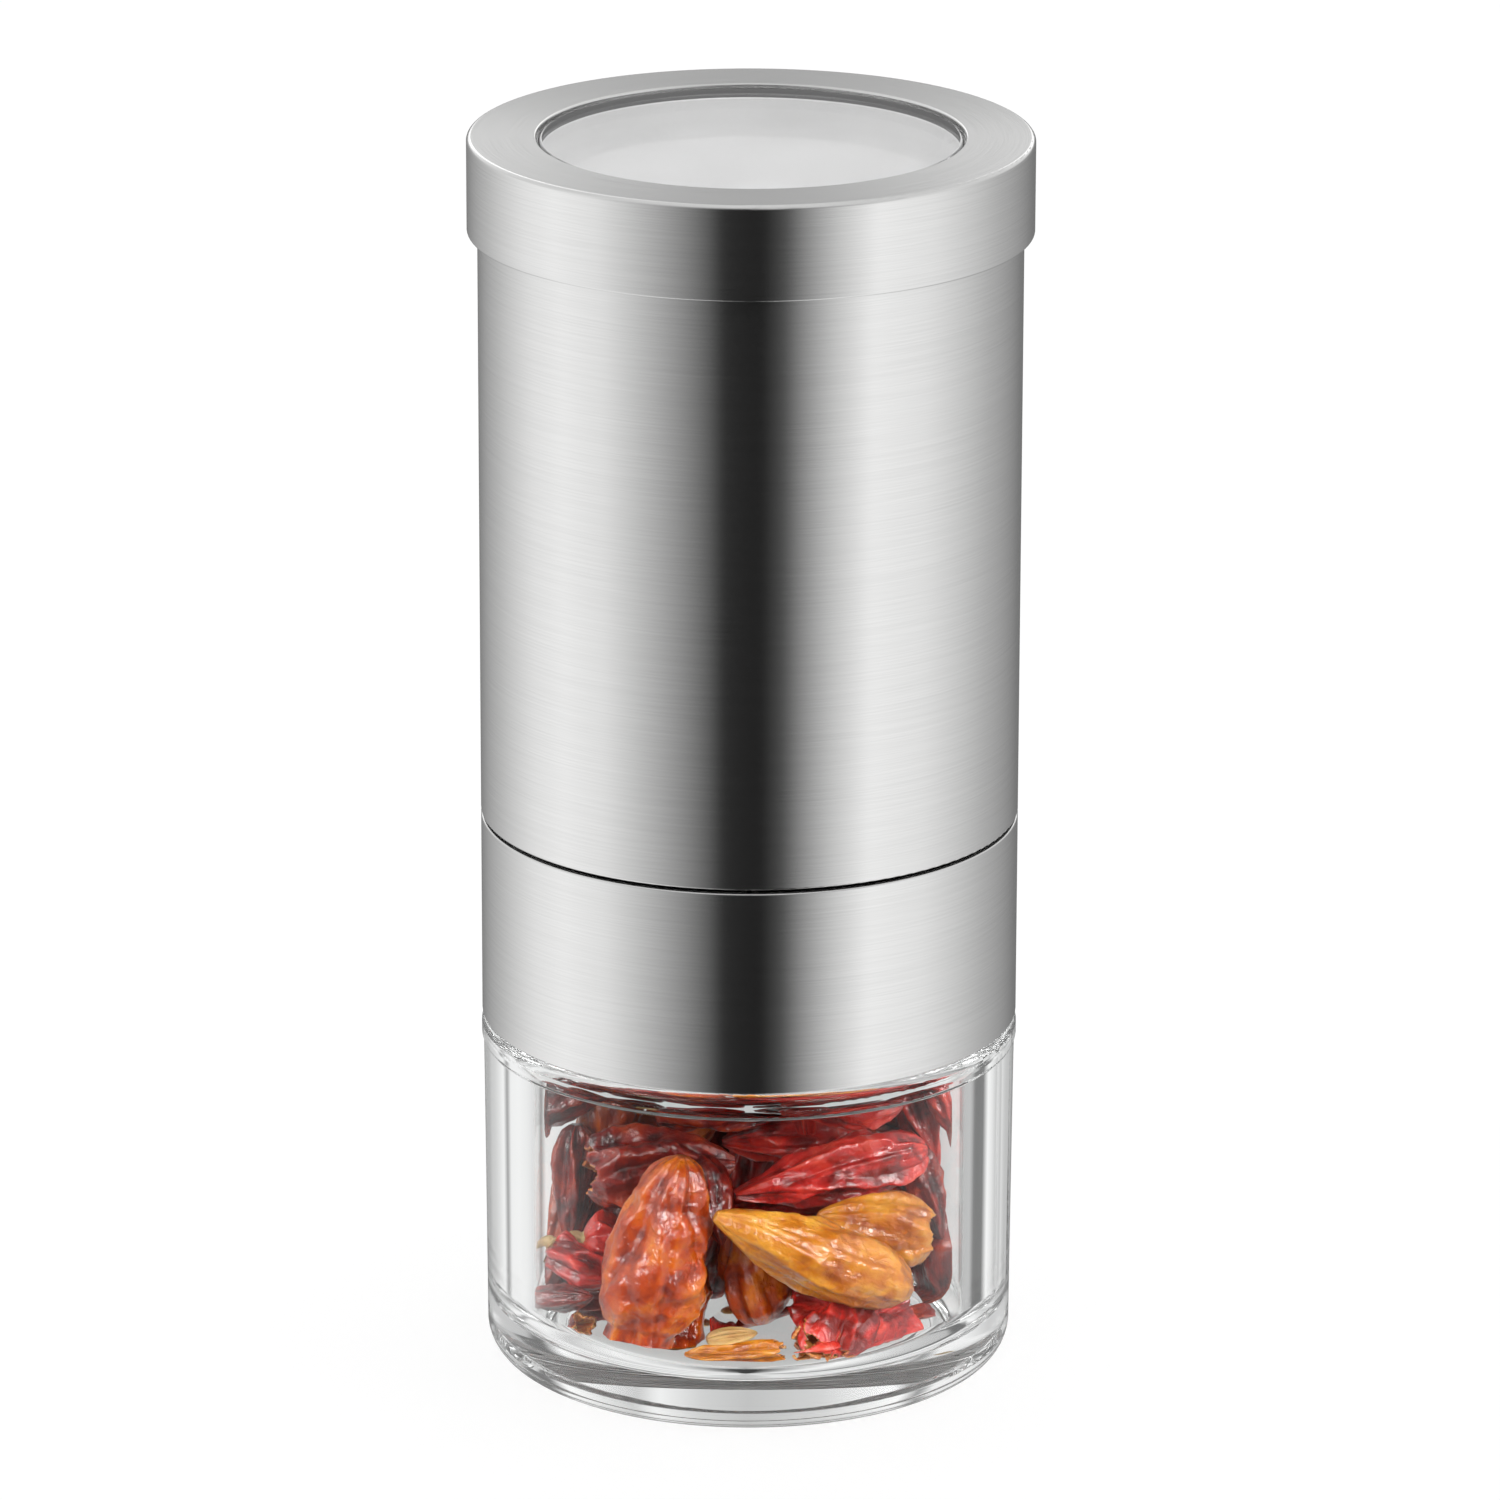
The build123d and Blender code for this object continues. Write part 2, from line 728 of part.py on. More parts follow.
# Spacers and the spring seat on the shaft
shaft_rings = [
    ("lower_spacer", spacer_radius, hub_high, lower_spacer_length),
    ("middle_spacer", spacer_radius, middle_spacer_low, middle_spacer_length),
    ("upper_spacer", spacer_radius, upper_spacer_low, upper_spacer_length),
    ("spring_seat", spring_seat_radius, clip_high, spring_seat_thickness),
]
for ring_name, outer, low, length in shaft_rings:
    with BuildPart() as shaft_ring:
        with BuildSketch(Plane.XY.offset(low)):
            Circle(outer)
            Circle(hex_hole_radius, mode=Mode.SUBTRACT)
        extrude(amount=length)
    shaft_ring.part.label = ring_name
    export_step(shaft_ring.part, f"parts/{ring_name}.step")

# Two-winged cutters with upturned tips, set a quarter turn apart
cutters = [("lower_cutter", lower_cutter_low, 90), ("upper_cutter", upper_cutter_low, 0)]
for cutter_name, low, turn in cutters:
    with BuildPart() as cutter:
        with BuildSketch(Plane.XY.offset(low)):
            Circle(cutter_hub_radius)
            with PolarLocations(0, 2, start_angle=turn):
                Polygon(
                    (0, -cutter_width / 2),
                    (cutter_reach, -cutter_tip_width / 2),
                    (cutter_reach, cutter_tip_width / 2),
                    (0, cutter_width / 2),
                    align=None,
                )
            RegularPolygon(hex_hole_radius, 6, mode=Mode.SUBTRACT)
        extrude(amount=cutter_thickness)
        with BuildSketch(Plane.XY.offset(low)):
            with PolarLocations(cutter_reach, 2, start_angle=turn):
                Rectangle(cutter_thickness, cutter_tip_width, align=(Align.MAX, Align.CENTER))
        extrude(amount=cutter_tip_height)
    cutter.part.label = cutter_name
    export_step(cutter.part, f"parts/{cutter_name}.step")

# Open clip in the shaft groove
with BuildPart() as shaft_clip:
    with BuildSketch(Plane.XY.offset(clip_low)):
        Circle(clip_radius)
        Circle(clip_groove_radius + press_gap, mode=Mode.SUBTRACT)
        Rectangle(
            clip_radius,
            2 * clip_groove_radius - clip_grip,
            align=(Align.MIN, Align.CENTER),
            mode=Mode.SUBTRACT,
        )
    extrude(amount=clip_thickness)
shaft_clip.part.label = "shaft_clip"
export_step(shaft_clip.part, "parts/shaft_clip.step")

# Adjusting spring: one wire on arcs of an eighth of a turn, two for each quarter turn
spring_start = spring_low + spring_wire_radius + spring_end_gap
spring_rise = spring_high - spring_low - 2 * (spring_wire_radius + spring_end_gap)
spring_slope = spring_rise / spring_turns / 2 / math.pi


def spring_point(turn):
    """Point of the spring's mid-line after a number of turns."""
    angle = 2 * math.pi * turn
    return Vector(
        spring_radius * math.cos(angle),
        spring_radius * math.sin(angle),
        spring_start + spring_slope * angle,
    )


def spring_tangent(turn):
    """Unit direction of the spring's mid-line after a number of turns."""
    angle = 2 * math.pi * turn
    return Vector(
        -spring_radius * math.sin(angle), spring_radius * math.cos(angle), spring_slope
    ).normalized()


with BuildPart() as adjusting_spring:
    with BuildLine() as spring_path:
        for quarter in range(4 * spring_turns):
            start, end = spring_point(quarter / 4), spring_point((quarter + 1) / 4)
            leave, arrive = spring_tangent(quarter / 4), spring_tangent((quarter + 1) / 4)
            chord, bend = end - start, leave + arrive
            # Length of the two tangents for which both arcs meet without a kink
            part_a = 4 - bend.dot(bend)
            part_b = 2 * chord.dot(bend)
            reach = (math.sqrt(part_b**2 + 4 * part_a * chord.dot(chord)) - part_b) / (2 * part_a)
            middle = (start + leave * reach + end - arrive * reach) * 0.5
            middle_direction = (end - arrive * reach - start - leave * reach).normalized()
            TangentArc(start, middle, tangent=leave)
            TangentArc(middle, end, tangent=middle_direction)
    with BuildSketch(Plane(origin=spring_point(0), z_dir=spring_tangent(0))):
        Circle(spring_wire_radius)
    sweep(path=spring_path.line)
adjusting_spring.part.label = "adjusting_spring"
export_step(adjusting_spring.part, "parts/adjusting_spring.step")
spring_points = [spring_point(step / 48) for step in range(48 * spring_turns + 1)]
spring_gap = min(
    (spring_points[a] - spring_points[b]).length
    for a in range(len(spring_points))
    for b in range(a + 24, len(spring_points))
)
print("least gap of the spring to itself", round(spring_gap - 2 * spring_wire_radius, 2), "mm")

# Ceramic rotor: coarse flutes below, fine teeth above, hexagonal bore and spring recess
with BuildPart() as grinder_rotor:
    with BuildSketch(Plane.XY.offset(rotor_low)):
        with BuildLine():
            Polyline(
                star(
                    rotor_coarse_count,
                    rotor_coarse_entry_radius,
                    rotor_coarse_entry_radius - rotor_coarse_depth,
                ),
                close=True,
            )
        make_face()
    with BuildSketch(Plane.XY.offset(rotor_fine_low)):
        with BuildLine():
            Polyline(
                star(
                    rotor_coarse_count,
                    rotor_fine_entry_radius,
                    rotor_fine_entry_radius - rotor_coarse_depth,
                    rotor_twist,
                ),
                close=True,
            )
        make_face()
    loft(ruled=True)
    with BuildSketch(Plane.XY.offset(rotor_fine_low)):
        with BuildLine():
            Polyline(
                star(
                    rotor_fine_count,
                    rotor_fine_entry_radius,
                    rotor_fine_entry_radius - rotor_fine_depth,
                ),
                close=True,
            )
        make_face()
    with BuildSketch(Plane.XY.offset(rotor_high)):
        with BuildLine():
            Polyline(
                star(
                    rotor_fine_count,
                    rotor_exit_radius,
                    rotor_exit_radius - rotor_exit_depth,
                    rotor_twist,
                ),
                close=True,
            )
        make_face()
    loft(ruled=True)
    with BuildSketch(Plane.XY.offset(rotor_low)):
        RegularPolygon(rotor_hex_radius, 6)
    extrude(amount=rotor_high - rotor_low, mode=Mode.SUBTRACT)
    with BuildSketch(Plane.XY.offset(rotor_low)):
        Circle(spring_radius + spring_wire_radius + rotor_spring_bore_gap)
    extrude(amount=rotor_spring_bore_depth, mode=Mode.SUBTRACT)
grinder_rotor.part.label = "grinder_rotor"
export_step(grinder_rotor.part, "parts/grinder_rotor.step")

# Adjusting knob with finger flutes
with BuildPart() as adjusting_knob:
    with BuildSketch(Plane.XY.offset(knob_low)):
        Circle(knob_radius)
        with PolarLocations(knob_radius + knob_flute_radius - knob_flute_depth, knob_flute_count):
            Circle(knob_flute_radius, mode=Mode.SUBTRACT)
    extrude(amount=knob_height)
    chamfer(adjusting_knob.edges().group_by(Axis.Z)[-1], knob_edge)
    with BuildSketch(Plane.XY.offset(knob_low)):
        Circle(insert_outer_radius + press_gap)
    extrude(amount=knob_height - knob_crown, mode=Mode.SUBTRACT)
    with BuildSketch(Plane.XY.offset(knob_low)):
        Circle(knob_bore_radius)
    extrude(amount=knob_height, mode=Mode.SUBTRACT)
adjusting_knob.part.label = "adjusting_knob"
export_step(adjusting_knob.part, "parts/adjusting_knob.step")

# Brass thread insert of the knob
with BuildPart() as knob_insert:
    with BuildSketch(Plane.XY.offset(knob_low)):
        Circle(insert_outer_radius)
        Circle(knob_bore_radius, mode=Mode.SUBTRACT)
    extrude(amount=knob_height - knob_crown)
    with BuildLine() as knob_thread_path:
        Helix(shaft_thread_lead, knob_thread_height, knob_bore_radius, center=(0, 0, knob_thread_low))
    with BuildSketch(Plane.XZ):
        with BuildLine():
            Polyline(
                ridge(
                    knob_bore_radius,
                    knob_bore_radius - shaft_thread_depth,
                    shaft_thread_root_width,
                    shaft_thread_crest_width,
                    knob_thread_low,
                ),
                close=True,
            )
        make_face()
    sweep(path=knob_thread_path.line, is_frenet=True)
knob_insert.part.label = "knob_insert"
export_step(knob_insert.part, "parts/knob_insert.step")

# Steel cap ring
with BuildPart() as cap_shell:
    with BuildSketch(Plane.XZ):
        with BuildLine():
            FilletPolyline(
                (cap_inner_radius, cap_low),
                (cap_radius, cap_low),
                (cap_radius, cap_high),
                (window_opening_radius, cap_high),
                (window_opening_radius, cap_flange_high),
                (cap_inner_radius, cap_flange_high),
                radius=[sheet_edge, sheet_edge, cap_edge_fillet, sheet_edge, 0, 0],
                close=True,
            )
        make_face()
    revolve(axis=Axis.Z)
cap_shell.part.label = "cap_shell"
export_step(cap_shell.part, "parts/cap_shell.step")

# Cap liner: pale cup under the window, plug with the O-ring groove outside
with BuildPart() as cap_liner:
    with BuildSketch(Plane.XZ):
        with BuildLine():
            FilletPolyline(
                (0, cup_floor_high),
                (cup_radius, cup_floor_high),
                (cup_radius, gasket_low),
                (window_seat_radius, gasket_low),
                (window_seat_radius, cap_flange_high),
                (cap_inner_radius - press_gap, cap_flange_high),
                (cap_inner_radius - press_gap, cap_flange_low),
                (plug_radius, cap_flange_low),
                (plug_radius, groove_high),
                (groove_radius, groove_high),
                (groove_radius, groove_low),
                (plug_radius, groove_low),
                (plug_radius, plug_low),
                (cup_radius, plug_low),
                (cup_radius, cup_floor_low),
                (0, cup_floor_low),
                radius=[0, cup_fillet, 0, 0, 0, 0, 0, 0, 0, 0, 0, 0, plug_edge, plug_edge, 0, 0],
                close=True,
            )
        make_face()
    revolve(axis=Axis.Z)
cap_liner.part.label = "cap_liner"
export_step(cap_liner.part, "parts/cap_liner.step")

# Clear window
with BuildPart() as cap_window:
    with BuildSketch(Plane.XZ):
        with BuildLine():
            FilletPolyline(
                (0, window_low),
                (window_flange_radius, window_low),
                (window_flange_radius, cap_flange_high - press_gap),
                (window_radius, cap_flange_high - press_gap),
                (window_radius, window_high),
                (0, window_high),
                radius=[0, 0, 0, 0, window_edge_fillet, 0],
                close=True,
            )
        make_face()
    revolve(axis=Axis.Z)
cap_window.part.label = "cap_window"
export_step(cap_window.part, "parts/cap_window.step")

# Gasket under the window
with BuildPart() as window_gasket:
    with BuildSketch(Plane.XY.offset(gasket_low)):
        Circle(window_flange_radius)
        Circle(cup_radius, mode=Mode.SUBTRACT)
    extrude(amount=gasket_thickness)
window_gasket.part.label = "window_gasket"
export_step(window_gasket.part, "parts/window_gasket.step")

# O-ring of the cap plug
with BuildPart() as cap_oring:
    with BuildSketch(Plane.XZ):
        with Locations((oring_place, groove_high - oring_radius - oring_groove_gap)):
            Circle(oring_radius)
    revolve(axis=Axis.Z)
cap_oring.part.label = "cap_oring"
export_step(cap_oring.part, "parts/cap_oring.step")

# Dried chilies, kept inside the jar's hollow
pod_space_radius = cavity_radius - pod_wall_gap
pod_space_low = jar_floor + pod_wall_gap
for pod_name, foot, tip, radius in chili_pods:
    pod_foot = Vector(*foot) + Vector(0, 0, jar_floor)
    pod_axis = Vector(*tip) - Vector(*foot)
    pod_across = Vector(0, 0, 1).cross(pod_axis)
    with BuildPart() as pod:
        with BuildSketch(Plane(origin=pod_foot, x_dir=pod_across, z_dir=pod_across.cross(pod_axis))):
            with BuildLine():
                Polyline(
                    (0, 0),
                    *[(swell * radius, share * pod_axis.length) for share, swell in pod_shape],
                    (0, pod_axis.length),
                    close=True,
                )
            make_face()
        revolve(axis=Axis(pod_foot, pod_axis))
        with BuildSketch(Plane.XZ):
            with BuildLine():
                FilletPolyline(
                    (0, pod_space_low),
                    (pod_space_radius, pod_space_low),
                    (pod_space_radius, slope_low),
                    (0, slope_low),
                    radius=[0, jar_inner_fillet, 0, 0],
                    close=True,
                )
            make_face()
        revolve(axis=Axis.Z, mode=Mode.INTERSECT)
    pod.part.label = pod_name
    export_step(pod.part, f"parts/{pod_name}.step")
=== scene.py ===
import json
import math
import random

import bmesh
import bpy
import numpy as np
from mathutils import Euler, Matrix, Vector, noise
from mathutils.bvhtree import BVHTree

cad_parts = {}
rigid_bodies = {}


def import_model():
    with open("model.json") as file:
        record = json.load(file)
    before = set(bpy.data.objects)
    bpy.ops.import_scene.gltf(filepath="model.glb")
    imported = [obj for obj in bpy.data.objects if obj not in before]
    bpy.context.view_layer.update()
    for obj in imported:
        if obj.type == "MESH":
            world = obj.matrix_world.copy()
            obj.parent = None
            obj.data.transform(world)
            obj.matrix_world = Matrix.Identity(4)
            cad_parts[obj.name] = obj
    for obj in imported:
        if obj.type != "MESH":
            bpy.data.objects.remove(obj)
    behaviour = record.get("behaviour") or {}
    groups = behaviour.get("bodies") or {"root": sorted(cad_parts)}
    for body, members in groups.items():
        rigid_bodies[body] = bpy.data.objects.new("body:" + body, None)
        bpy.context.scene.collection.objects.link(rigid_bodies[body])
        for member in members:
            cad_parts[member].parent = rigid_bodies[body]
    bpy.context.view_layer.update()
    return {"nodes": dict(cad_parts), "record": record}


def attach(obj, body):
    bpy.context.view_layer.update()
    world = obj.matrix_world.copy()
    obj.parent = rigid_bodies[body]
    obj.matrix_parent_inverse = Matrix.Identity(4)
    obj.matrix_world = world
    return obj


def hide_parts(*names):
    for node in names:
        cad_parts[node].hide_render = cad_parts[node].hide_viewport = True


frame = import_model()
cadNodes = frame["nodes"]
slotOf = {part["node"]: part["material_slot"] for part in frame["record"]["subparts"]}
print("frame loaded:", len(cadNodes), "CAD pieces")


def put(tree, kind, inputs=None, **settings):
    # adds one node: plain values are set, sockets are linked
    node = tree.nodes.new("ShaderNode" + kind)
    for key, value in settings.items():
        setattr(node, key, value)
    for key, value in (inputs or {}).items():
        if isinstance(value, bpy.types.NodeSocket):
            tree.links.new(value, node.inputs[key])
        else:
            node.inputs[key].default_value = value
    return node


def maths(tree, operation, first, second=0.0):
    return put(tree, "Math", {0: first, 1: second}, operation=operation).outputs[0]


def blended(tree, first, firstShare, second, secondShare):
    return maths(tree, "ADD", maths(tree, "MULTIPLY", first, firstShare),
                 maths(tree, "MULTIPLY", second, secondShare))


def rescaled(tree, value, span, result=(0.0, 1.0)):
    return put(tree, "MapRange", {"Value": value, "From Min": span[0], "From Max": span[1],
                                  "To Min": result[0], "To Max": result[1]}).outputs[0]


def mixed(tree, factor, first, second):
    node = put(tree, "Mix", {"Factor": factor, "A": first, "B": second}, data_type="RGBA")
    return node.outputs["Result"]


def ramp(tree, factor, stops):
    node = put(tree, "ValToRGB", {"Fac": factor})
    points = node.color_ramp.elements
    while len(points) < len(stops):
        points.new(0.5)
    for point, (place, colour) in zip(points, stops):
        point.position = place
        point.color = (*colour, 1.0)
    return node.outputs["Color"]


def grey(level):
    return (level, level, level)


def newGroup(name, ins, outs):
    tree = bpy.data.node_groups.new(name, "ShaderNodeTree")
    for label, value in ins.items():
        socket = tree.interface.new_socket(label, in_out="INPUT", socket_type="NodeSocketFloat")
        socket.default_value = value
    for label in outs:
        tree.interface.new_socket(label, in_out="OUTPUT", socket_type="NodeSocketFloat")
    return tree, tree.nodes.new("NodeGroupInput").outputs, tree.nodes.new("NodeGroupOutput").inputs


def useGroup(tree, group, inputs):
    node = tree.nodes.new("ShaderNodeGroup")
    node.node_tree = group
    for key, value in inputs.items():
        node.inputs[key].default_value = value
    return node.outputs


def newMaterial(name, shader):
    first, *rest = name.split("_")
    material = bpy.data.materials.new(first + "".join(word.title() for word in rest))
    material.use_nodes = True
    tree = material.node_tree
    tree.nodes.clear()
    body = put(tree, "BsdfPrincipled", shader)
    out = put(tree, "OutputMaterial", {"Surface": body.outputs[0]})
    return material, tree, body, out


def bumped(tree, body, height, strength, distance):
    bump = put(tree, "Bump", {"Height": height, "Strength": strength, "Distance": distance})
    tree.links.new(bump.outputs[0], body.inputs["Normal"])
    return bump


# brushed lines that run round the Z axis, on walls and on flat rings alike
brushLines = dict(across=5000.0, around=2.0, slow=0.13, fineShare=0.85, slowShare=0.15)


def makeTurnedBrush():
    look = brushLines
    tree, given, result = newGroup("turnedBrush", {"Across": look["across"], "Around": look["around"]},
                                   ("Height", "Streak"))
    place = put(tree, "SeparateXYZ", {0: put(tree, "TexCoord").outputs["Object"]}).outputs
    flat = put(tree, "CombineXYZ", {0: place[0], 1: place[1]}).outputs[0]
    reach = put(tree, "VectorMath", {0: flat}, operation="LENGTH").outputs["Value"]
    turn = put(tree, "VectorMath", {0: flat}, operation="NORMALIZE").outputs[0]
    turn = put(tree, "VectorMath", {0: turn, "Scale": given["Around"]}, operation="SCALE").outputs[0]
    turn = put(tree, "SeparateXYZ", {0: turn}).outputs
    level = maths(tree, "MULTIPLY", maths(tree, "ADD", reach, place[2]), given["Across"])
    spot = put(tree, "CombineXYZ", {0: turn[0], 1: turn[1], 2: level}).outputs[0]
    fine = put(tree, "TexNoise", {"Vector": spot, "Scale": 1.0, "Detail": 3.0,
                                  "Roughness": 0.7}).outputs["Fac"]
    slow = put(tree, "TexNoise", {"Vector": spot, "Scale": look["slow"], "Detail": 2.0}).outputs["Fac"]
    tree.links.new(fine, result["Height"])
    tree.links.new(blended(tree, fine, look["fineShare"], slow, look["slowShare"]), result["Streak"])
    return tree


# moulded or fired surface: fine grain and a slow change of shade
grainLines = dict(grain=3000.0, patch=90.0)


def makeFineGrain():
    tree, given, result = newGroup("fineGrain", {"Grain": grainLines["grain"], "Patch": grainLines["patch"]},
                                   ("Height", "Shade"))
    place = put(tree, "TexCoord").outputs["Object"]
    grain = put(tree, "TexNoise", {"Vector": place, "Scale": given["Grain"], "Detail": 2.0})
    patch = put(tree, "TexNoise", {"Vector": place, "Scale": given["Patch"], "Detail": 4.0})
    tree.links.new(grain.outputs["Fac"], result["Height"])
    tree.links.new(patch.outputs["Fac"], result["Shade"])
    return tree


# dried skin: streaks along the pod, blotches, freckles and small crinkles
skinLines = dict(blotch=260.0, crinkle=1100.0, wrinkle=330.0, streak=2.4, freckle=2200.0,
                 crinkleDepth=0.35, streakDepth=0.6, wrinkleDepth=1.6)


def makePodSkin():
    look = skinLines
    tree, given, result = newGroup(
        "podSkin", {"Blotch": look["blotch"], "Crinkle": look["crinkle"], "Wrinkle": look["wrinkle"]},
        ("Blotches", "Streaks", "Height", "Freckles"))
    place = put(tree, "TexCoord").outputs["Object"]
    along = put(tree, "Attribute", attribute_name="podSkin").outputs["Vector"]
    blotch = put(tree, "TexNoise", {"Vector": place, "Scale": given["Blotch"], "Detail": 3.0,
                                    "Roughness": 0.5, "Distortion": 0.8}).outputs["Fac"]
    streak = put(tree, "TexNoise", {"Vector": along, "Scale": look["streak"], "Detail": 4.0,
                                    "Roughness": 0.65}).outputs["Fac"]
    crinkle = put(tree, "TexNoise", {"Vector": place, "Scale": given["Crinkle"], "Detail": 4.0,
                                     "Roughness": 0.6, "Distortion": 1.2}).outputs["Fac"]
    freckle = put(tree, "TexNoise", {"Vector": place, "Scale": look["freckle"], "Detail": 1.0}).outputs["Fac"]
    wrinkle = put(tree, "TexNoise", {"Vector": place, "Scale": given["Wrinkle"], "Detail": 2.0,
                                     "Distortion": 0.6}).outputs["Fac"]
    ridge = maths(tree, "ABSOLUTE", maths(tree, "SUBTRACT", wrinkle, 0.5))
    rough = blended(tree, crinkle, look["crinkleDepth"], streak, look["streakDepth"])
    height = maths(tree, "SUBTRACT", rough, maths(tree, "MULTIPLY", ridge, look["wrinkleDepth"]))
    tree.links.new(blotch, result["Blotches"])
    tree.links.new(streak, result["Streaks"])
    tree.links.new(height, result["Height"])
    tree.links.new(freckle, result["Freckles"])
    return tree


turnedBrush = makeTurnedBrush()
fineGrain = makeFineGrain()
podSkin = makePodSkin()

# roughness and shade of steel and plastic follow one pattern
shading = dict(span=(0.3, 0.7), dark=0.93)


def patterned(tree, body, value, look, stops):
    tree.links.new(rescaled(tree, value, shading["span"], look["rough"]), body.inputs["Roughness"])
    dark = tuple(shading["dark"] * part for part in look["tone"])
    tone = ramp(tree, value, [(stops[0], dark), (stops[1], look["tone"])])
    tree.links.new(tone, body.inputs["Base Color"])


steelLook = dict(
    brushed_steel=dict(tone=(0.76, 0.76, 0.755), rough=(0.18, 0.21), spin=0.87, across=8000.0, bump=0.04),
    shaft_steel=dict(tone=(0.50, 0.50, 0.50), rough=(0.18, 0.30), spin=0.5, across=6000.0, bump=0.06),
    screw_steel=dict(tone=(0.46, 0.46, 0.45), rough=(0.22, 0.36), spin=0.0, across=5000.0, bump=0.08),
    cutter_steel=dict(tone=(0.52, 0.52, 0.52), rough=(0.16, 0.30), spin=0.0, across=2600.0, bump=0.08),
    spring_steel=dict(tone=(0.42, 0.42, 0.42), rough=(0.20, 0.34), spin=0.0, across=7000.0, bump=0.05),
    brass=dict(tone=(0.66, 0.44, 0.16), rough=(0.18, 0.30), spin=0.5, across=6000.0, bump=0.06),
)
steelLines = dict(stops=(0.36, 0.62), depth=0.0001)


def makeSteel(name, look):
    material, tree, body, _ = newMaterial(name, {
        "Metallic": 1.0, "Anisotropic": look["spin"], "Anisotropic Rotation": 0.25})
    lines = useGroup(tree, turnedBrush, {"Across": look["across"]})
    patterned(tree, body, lines["Streak"], look, steelLines["stops"])
    bumped(tree, body, lines["Height"], look["bump"], steelLines["depth"])
    if look["spin"]:
        turn = put(tree, "Tangent", direction_type="RADIAL", axis="Z")
        tree.links.new(turn.outputs[0], body.inputs["Tangent"])
    return material


plasticLook = dict(
    white_plastic=dict(tone=(0.91, 0.91, 0.905), rough=(0.34, 0.46), grain=2600.0, bump=0.10, depth=0.0),
    dark_plastic=dict(tone=(0.030, 0.030, 0.033), rough=(0.36, 0.5), grain=2200.0, bump=0.18, depth=0.0),
    ceramic=dict(tone=(0.80, 0.77, 0.69), rough=(0.5, 0.7), grain=3600.0, bump=0.25, depth=0.0),
    clear_silicone=dict(tone=(0.62, 0.62, 0.60), rough=(0.4, 0.55), grain=1500.0, bump=0.08, depth=0.3),
    black_rubber=dict(tone=(0.014, 0.014, 0.014), rough=(0.5, 0.66), grain=2800.0, bump=0.2, depth=0.0),
)
plasticGrain = dict(stops=(0.35, 0.65), depth=0.00005)


def makePlastic(name, look):
    material, tree, body, _ = newMaterial(name, {
        "Subsurface Weight": look["depth"], "Subsurface Scale": 0.001})
    grain = useGroup(tree, fineGrain, {"Grain": look["grain"]})
    patterned(tree, body, grain["Shade"], look, plasticGrain["stops"])
    bumped(tree, body, grain["Height"], look["bump"], plasticGrain["depth"])
    return material


glassLook = dict(
    jar_glass=dict(tone=(0.985, 0.995, 0.99), index=1.5, shadow=0.96, sheen=0.12),
    window_clear=dict(tone=(0.99, 0.99, 0.995), index=1.49, shadow=0.97, sheen=1.0),
)
glassSmear = dict(grain=400.0, patch=60.0, span=(0.45, 0.8), rough=(0.0, 0.02))


def makeGlass(name, look):
    material, tree, body, out = newMaterial(name, {
        "Base Color": (*look["tone"], 1.0), "Transmission Weight": 1.0, "IOR": look["index"],
        "Specular Tint": (*grey(look["sheen"]), 1.0)})
    grain = useGroup(tree, fineGrain, {"Grain": glassSmear["grain"], "Patch": glassSmear["patch"]})
    smear = rescaled(tree, grain["Shade"], glassSmear["span"], glassSmear["rough"])
    tree.links.new(smear, body.inputs["Roughness"])
    # lamps shine through the glass on what is in it
    ray = put(tree, "LightPath").outputs["Is Shadow Ray"]
    clear = put(tree, "BsdfTransparent", {"Color": (*grey(look["shadow"]), 1.0)}).outputs[0]
    mix = put(tree, "MixShader", {0: ray, 1: body.outputs[0], 2: clear})
    tree.links.new(mix.outputs[0], out.inputs["Surface"])
    return material


podLook = dict(
    chili_orange=dict(deep=(0.15, 0.008, 0.0005), mid=(0.38, 0.042, 0.001), light=(0.58, 0.14, 0.003),
                      skin=0.2),
    chili_amber=dict(deep=(0.26, 0.050, 0.001), mid=(0.46, 0.140, 0.004), light=(0.64, 0.30, 0.034),
                     skin=0.2),
    chili_red=dict(deep=(0.14, 0.003, 0.002), mid=(0.46, 0.014, 0.010), light=(0.64, 0.060, 0.034),
                   skin=0.2),
    chili_dark_red=dict(deep=(0.045, 0.002, 0.002), mid=(0.19, 0.007, 0.003), light=(0.42, 0.045, 0.008),
                        skin=0.2),
    podInside=dict(deep=(0.38, 0.09, 0.020), mid=(0.58, 0.22, 0.06), light=(0.70, 0.42, 0.20),
                   skin=0.25),
    podStem=dict(deep=(0.17, 0.09, 0.03), mid=(0.36, 0.22, 0.09), light=(0.52, 0.37, 0.19),
                 skin=0.1, coat=0.05),
    podSeed=dict(deep=(0.45, 0.24, 0.08), mid=(0.60, 0.38, 0.15), light=(0.70, 0.50, 0.25),
                 skin=0.2, coat=0.2),
)
# the dents value below darkens the skin in its creases: a painted shade
podFinish = dict(depth=0.0016, spread=(1.0, 0.28, 0.08), coat=0.9, coatRough=0.12, coatIndex=1.75, gloss=0.12,
                 blotches=0.6, streaks=0.4, lift=0.05, dents=0.12, stops=(0.36, 0.49, 0.66),
                 freckles=(0.66, 0.74), freckleTone=(0.0, 0.35), roughSpan=(0.3, 0.7), rough=(0.42, 0.24),
                 bump=0.6, bumpDepth=0.0006)


